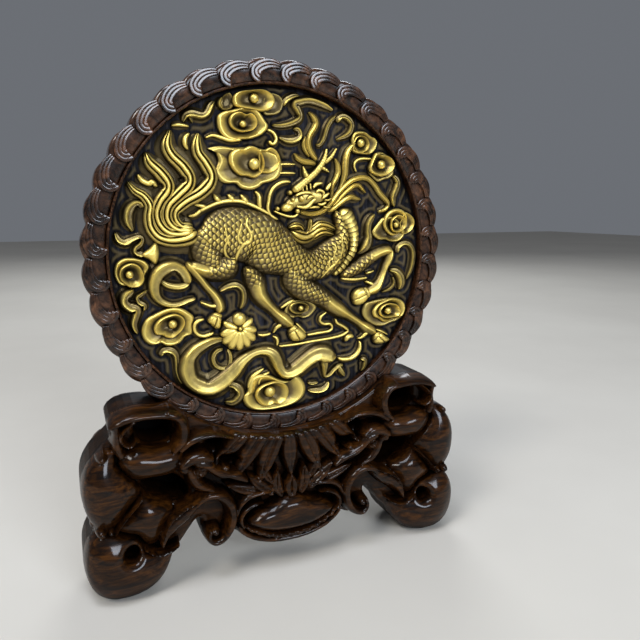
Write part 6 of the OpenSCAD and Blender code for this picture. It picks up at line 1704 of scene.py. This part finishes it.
class TableScreenSettings(bpy.types.PropertyGroup):
    """Sizes and colours of the carved screen"""

    relief_height: bpy.props.FloatProperty(
        name="Relief height", description="Height of the tallest gilded carving",
        default=0.0065, min=0.004, max=0.0065, precision=4, unit="LENGTH")
    front_step: bpy.props.FloatProperty(
        name="Front step", description="Fineness of the carved front of the stand",
        default=0.0006, min=0.0004, max=0.003, precision=4, unit="LENGTH")
    back_step: bpy.props.FloatProperty(
        name="Back step", description="Fineness of the back of the stand",
        default=0.0012, min=0.0006, max=0.004, precision=4, unit="LENGTH")
    gold_colour: bpy.props.FloatVectorProperty(
        name="Gold", description="Bright gilding on the crests",
        default=(1.0, 0.76, 0.19), min=0, max=1, subtype="COLOR")
    patina_colour: bpy.props.FloatVectorProperty(
        name="Patina", description="Brown of the worn hollows",
        default=(0.185, 0.134, 0.054), min=0, max=1, subtype="COLOR")
    # Colour of the ground: a dark stain, whose blue-grey tint is a painted cool sheen
    ground_and_sheen_colour: bpy.props.FloatVectorProperty(
        name="Ground", description="Dark board behind the carving",
        default=(0.0155, 0.0155, 0.02), min=0, max=1, subtype="COLOR")
    border_colour: bpy.props.FloatVectorProperty(
        name="Border", description="Wood of the wave border",
        default=(0.056, 0.024, 0.011), min=0, max=1, subtype="COLOR")
    stand_colour: bpy.props.FloatVectorProperty(
        name="Stand", description="Wood of the stand",
        default=(0.029, 0.0098, 0.0014), min=0, max=1, subtype="COLOR")


class SCREEN_OT_qilin(bpy.types.Operator):
    """Carve the qilin: body, head, legs and tail"""

    bl_idname = "screen.qilin"
    bl_label = "Qilin"

    def execute(self, context):
        build_body()
        build_head()
        build_legs()
        build_tail()
        return {"FINISHED"}


class SCREEN_OT_clouds(bpy.types.Operator):
    """Carve the clouds"""

    bl_idname = "screen.clouds"
    bl_label = "Clouds"

    def execute(self, context):
        for node, parts in CLOUDS.items():
            cloud(node, parts)
        return {"FINISHED"}


class SCREEN_OT_ribbons(bpy.types.Operator):
    """Carve the ribbons, the wisps and the ball"""

    bl_idname = "screen.ribbons"
    bl_label = "Ribbons and wisps"

    def execute(self, context):
        for node, (strokes, profile) in RIBBONS.items():
            strands(node, strokes, profile, 15, widen=1.45, skirt=0.25)
        build_ball()
        build_flare()
        return {"FINISHED"}


class SCREEN_OT_border(bpy.types.Operator):
    """Carve the wave border and finish the board and its bead"""

    bl_idname = "screen.border"
    bl_label = "Border and board"

    def execute(self, context):
        build_border()
        dress("bead_ring", bead_material())
        build_ground()
        return {"FINISHED"}


class SCREEN_OT_stand(bpy.types.Operator):
    """Carve the pierced stand, front and back"""

    bl_idname = "screen.stand"
    bl_label = "Stand"

    def execute(self, context):
        build_front()
        build_back()
        return {"FINISHED"}


class SCREEN_OT_stage(bpy.types.Operator):
    """Set the floor, the lights and the camera"""

    bl_idname = "screen.stage"
    bl_label = "Stage"

    def execute(self, context):
        build_stage()
        return {"FINISHED"}


class SCREEN_PT_panel(bpy.types.Panel):
    """Buttons for each group of pieces"""

    bl_label = "Table Screen"
    bl_idname = "SCREEN_PT_panel"
    bl_space_type = "VIEW_3D"
    bl_region_type = "UI"
    bl_category = "Table Screen"

    def draw(self, context):
        for name in TableScreenSettings.__annotations__:
            self.layout.prop(context.scene.table_screen, name)
        for name in STEPS:
            self.layout.operator("screen." + name)


# Operators in the order in which they run, and everything that is registered
STEPS = ("qilin", "clouds", "ribbons", "border", "stand", "stage")
CLASSES = (TableScreenSettings, SCREEN_OT_qilin, SCREEN_OT_clouds, SCREEN_OT_ribbons, SCREEN_OT_border,
           SCREEN_OT_stand, SCREEN_OT_stage, SCREEN_PT_panel)


def register():
    """Adds the classes and the settings to Blender."""
    for c in CLASSES:
        bpy.utils.register_class(c)
    bpy.types.Scene.table_screen = bpy.props.PointerProperty(type=TableScreenSettings)


def unregister():
    """Takes them out again."""
    del bpy.types.Scene.table_screen
    for c in reversed(CLASSES):
        bpy.utils.unregister_class(c)


def main():
    """Builds every piece."""
    register()
    for name in STEPS:
        getattr(bpy.ops.screen, name)()


if __name__ == "__main__":
    main()
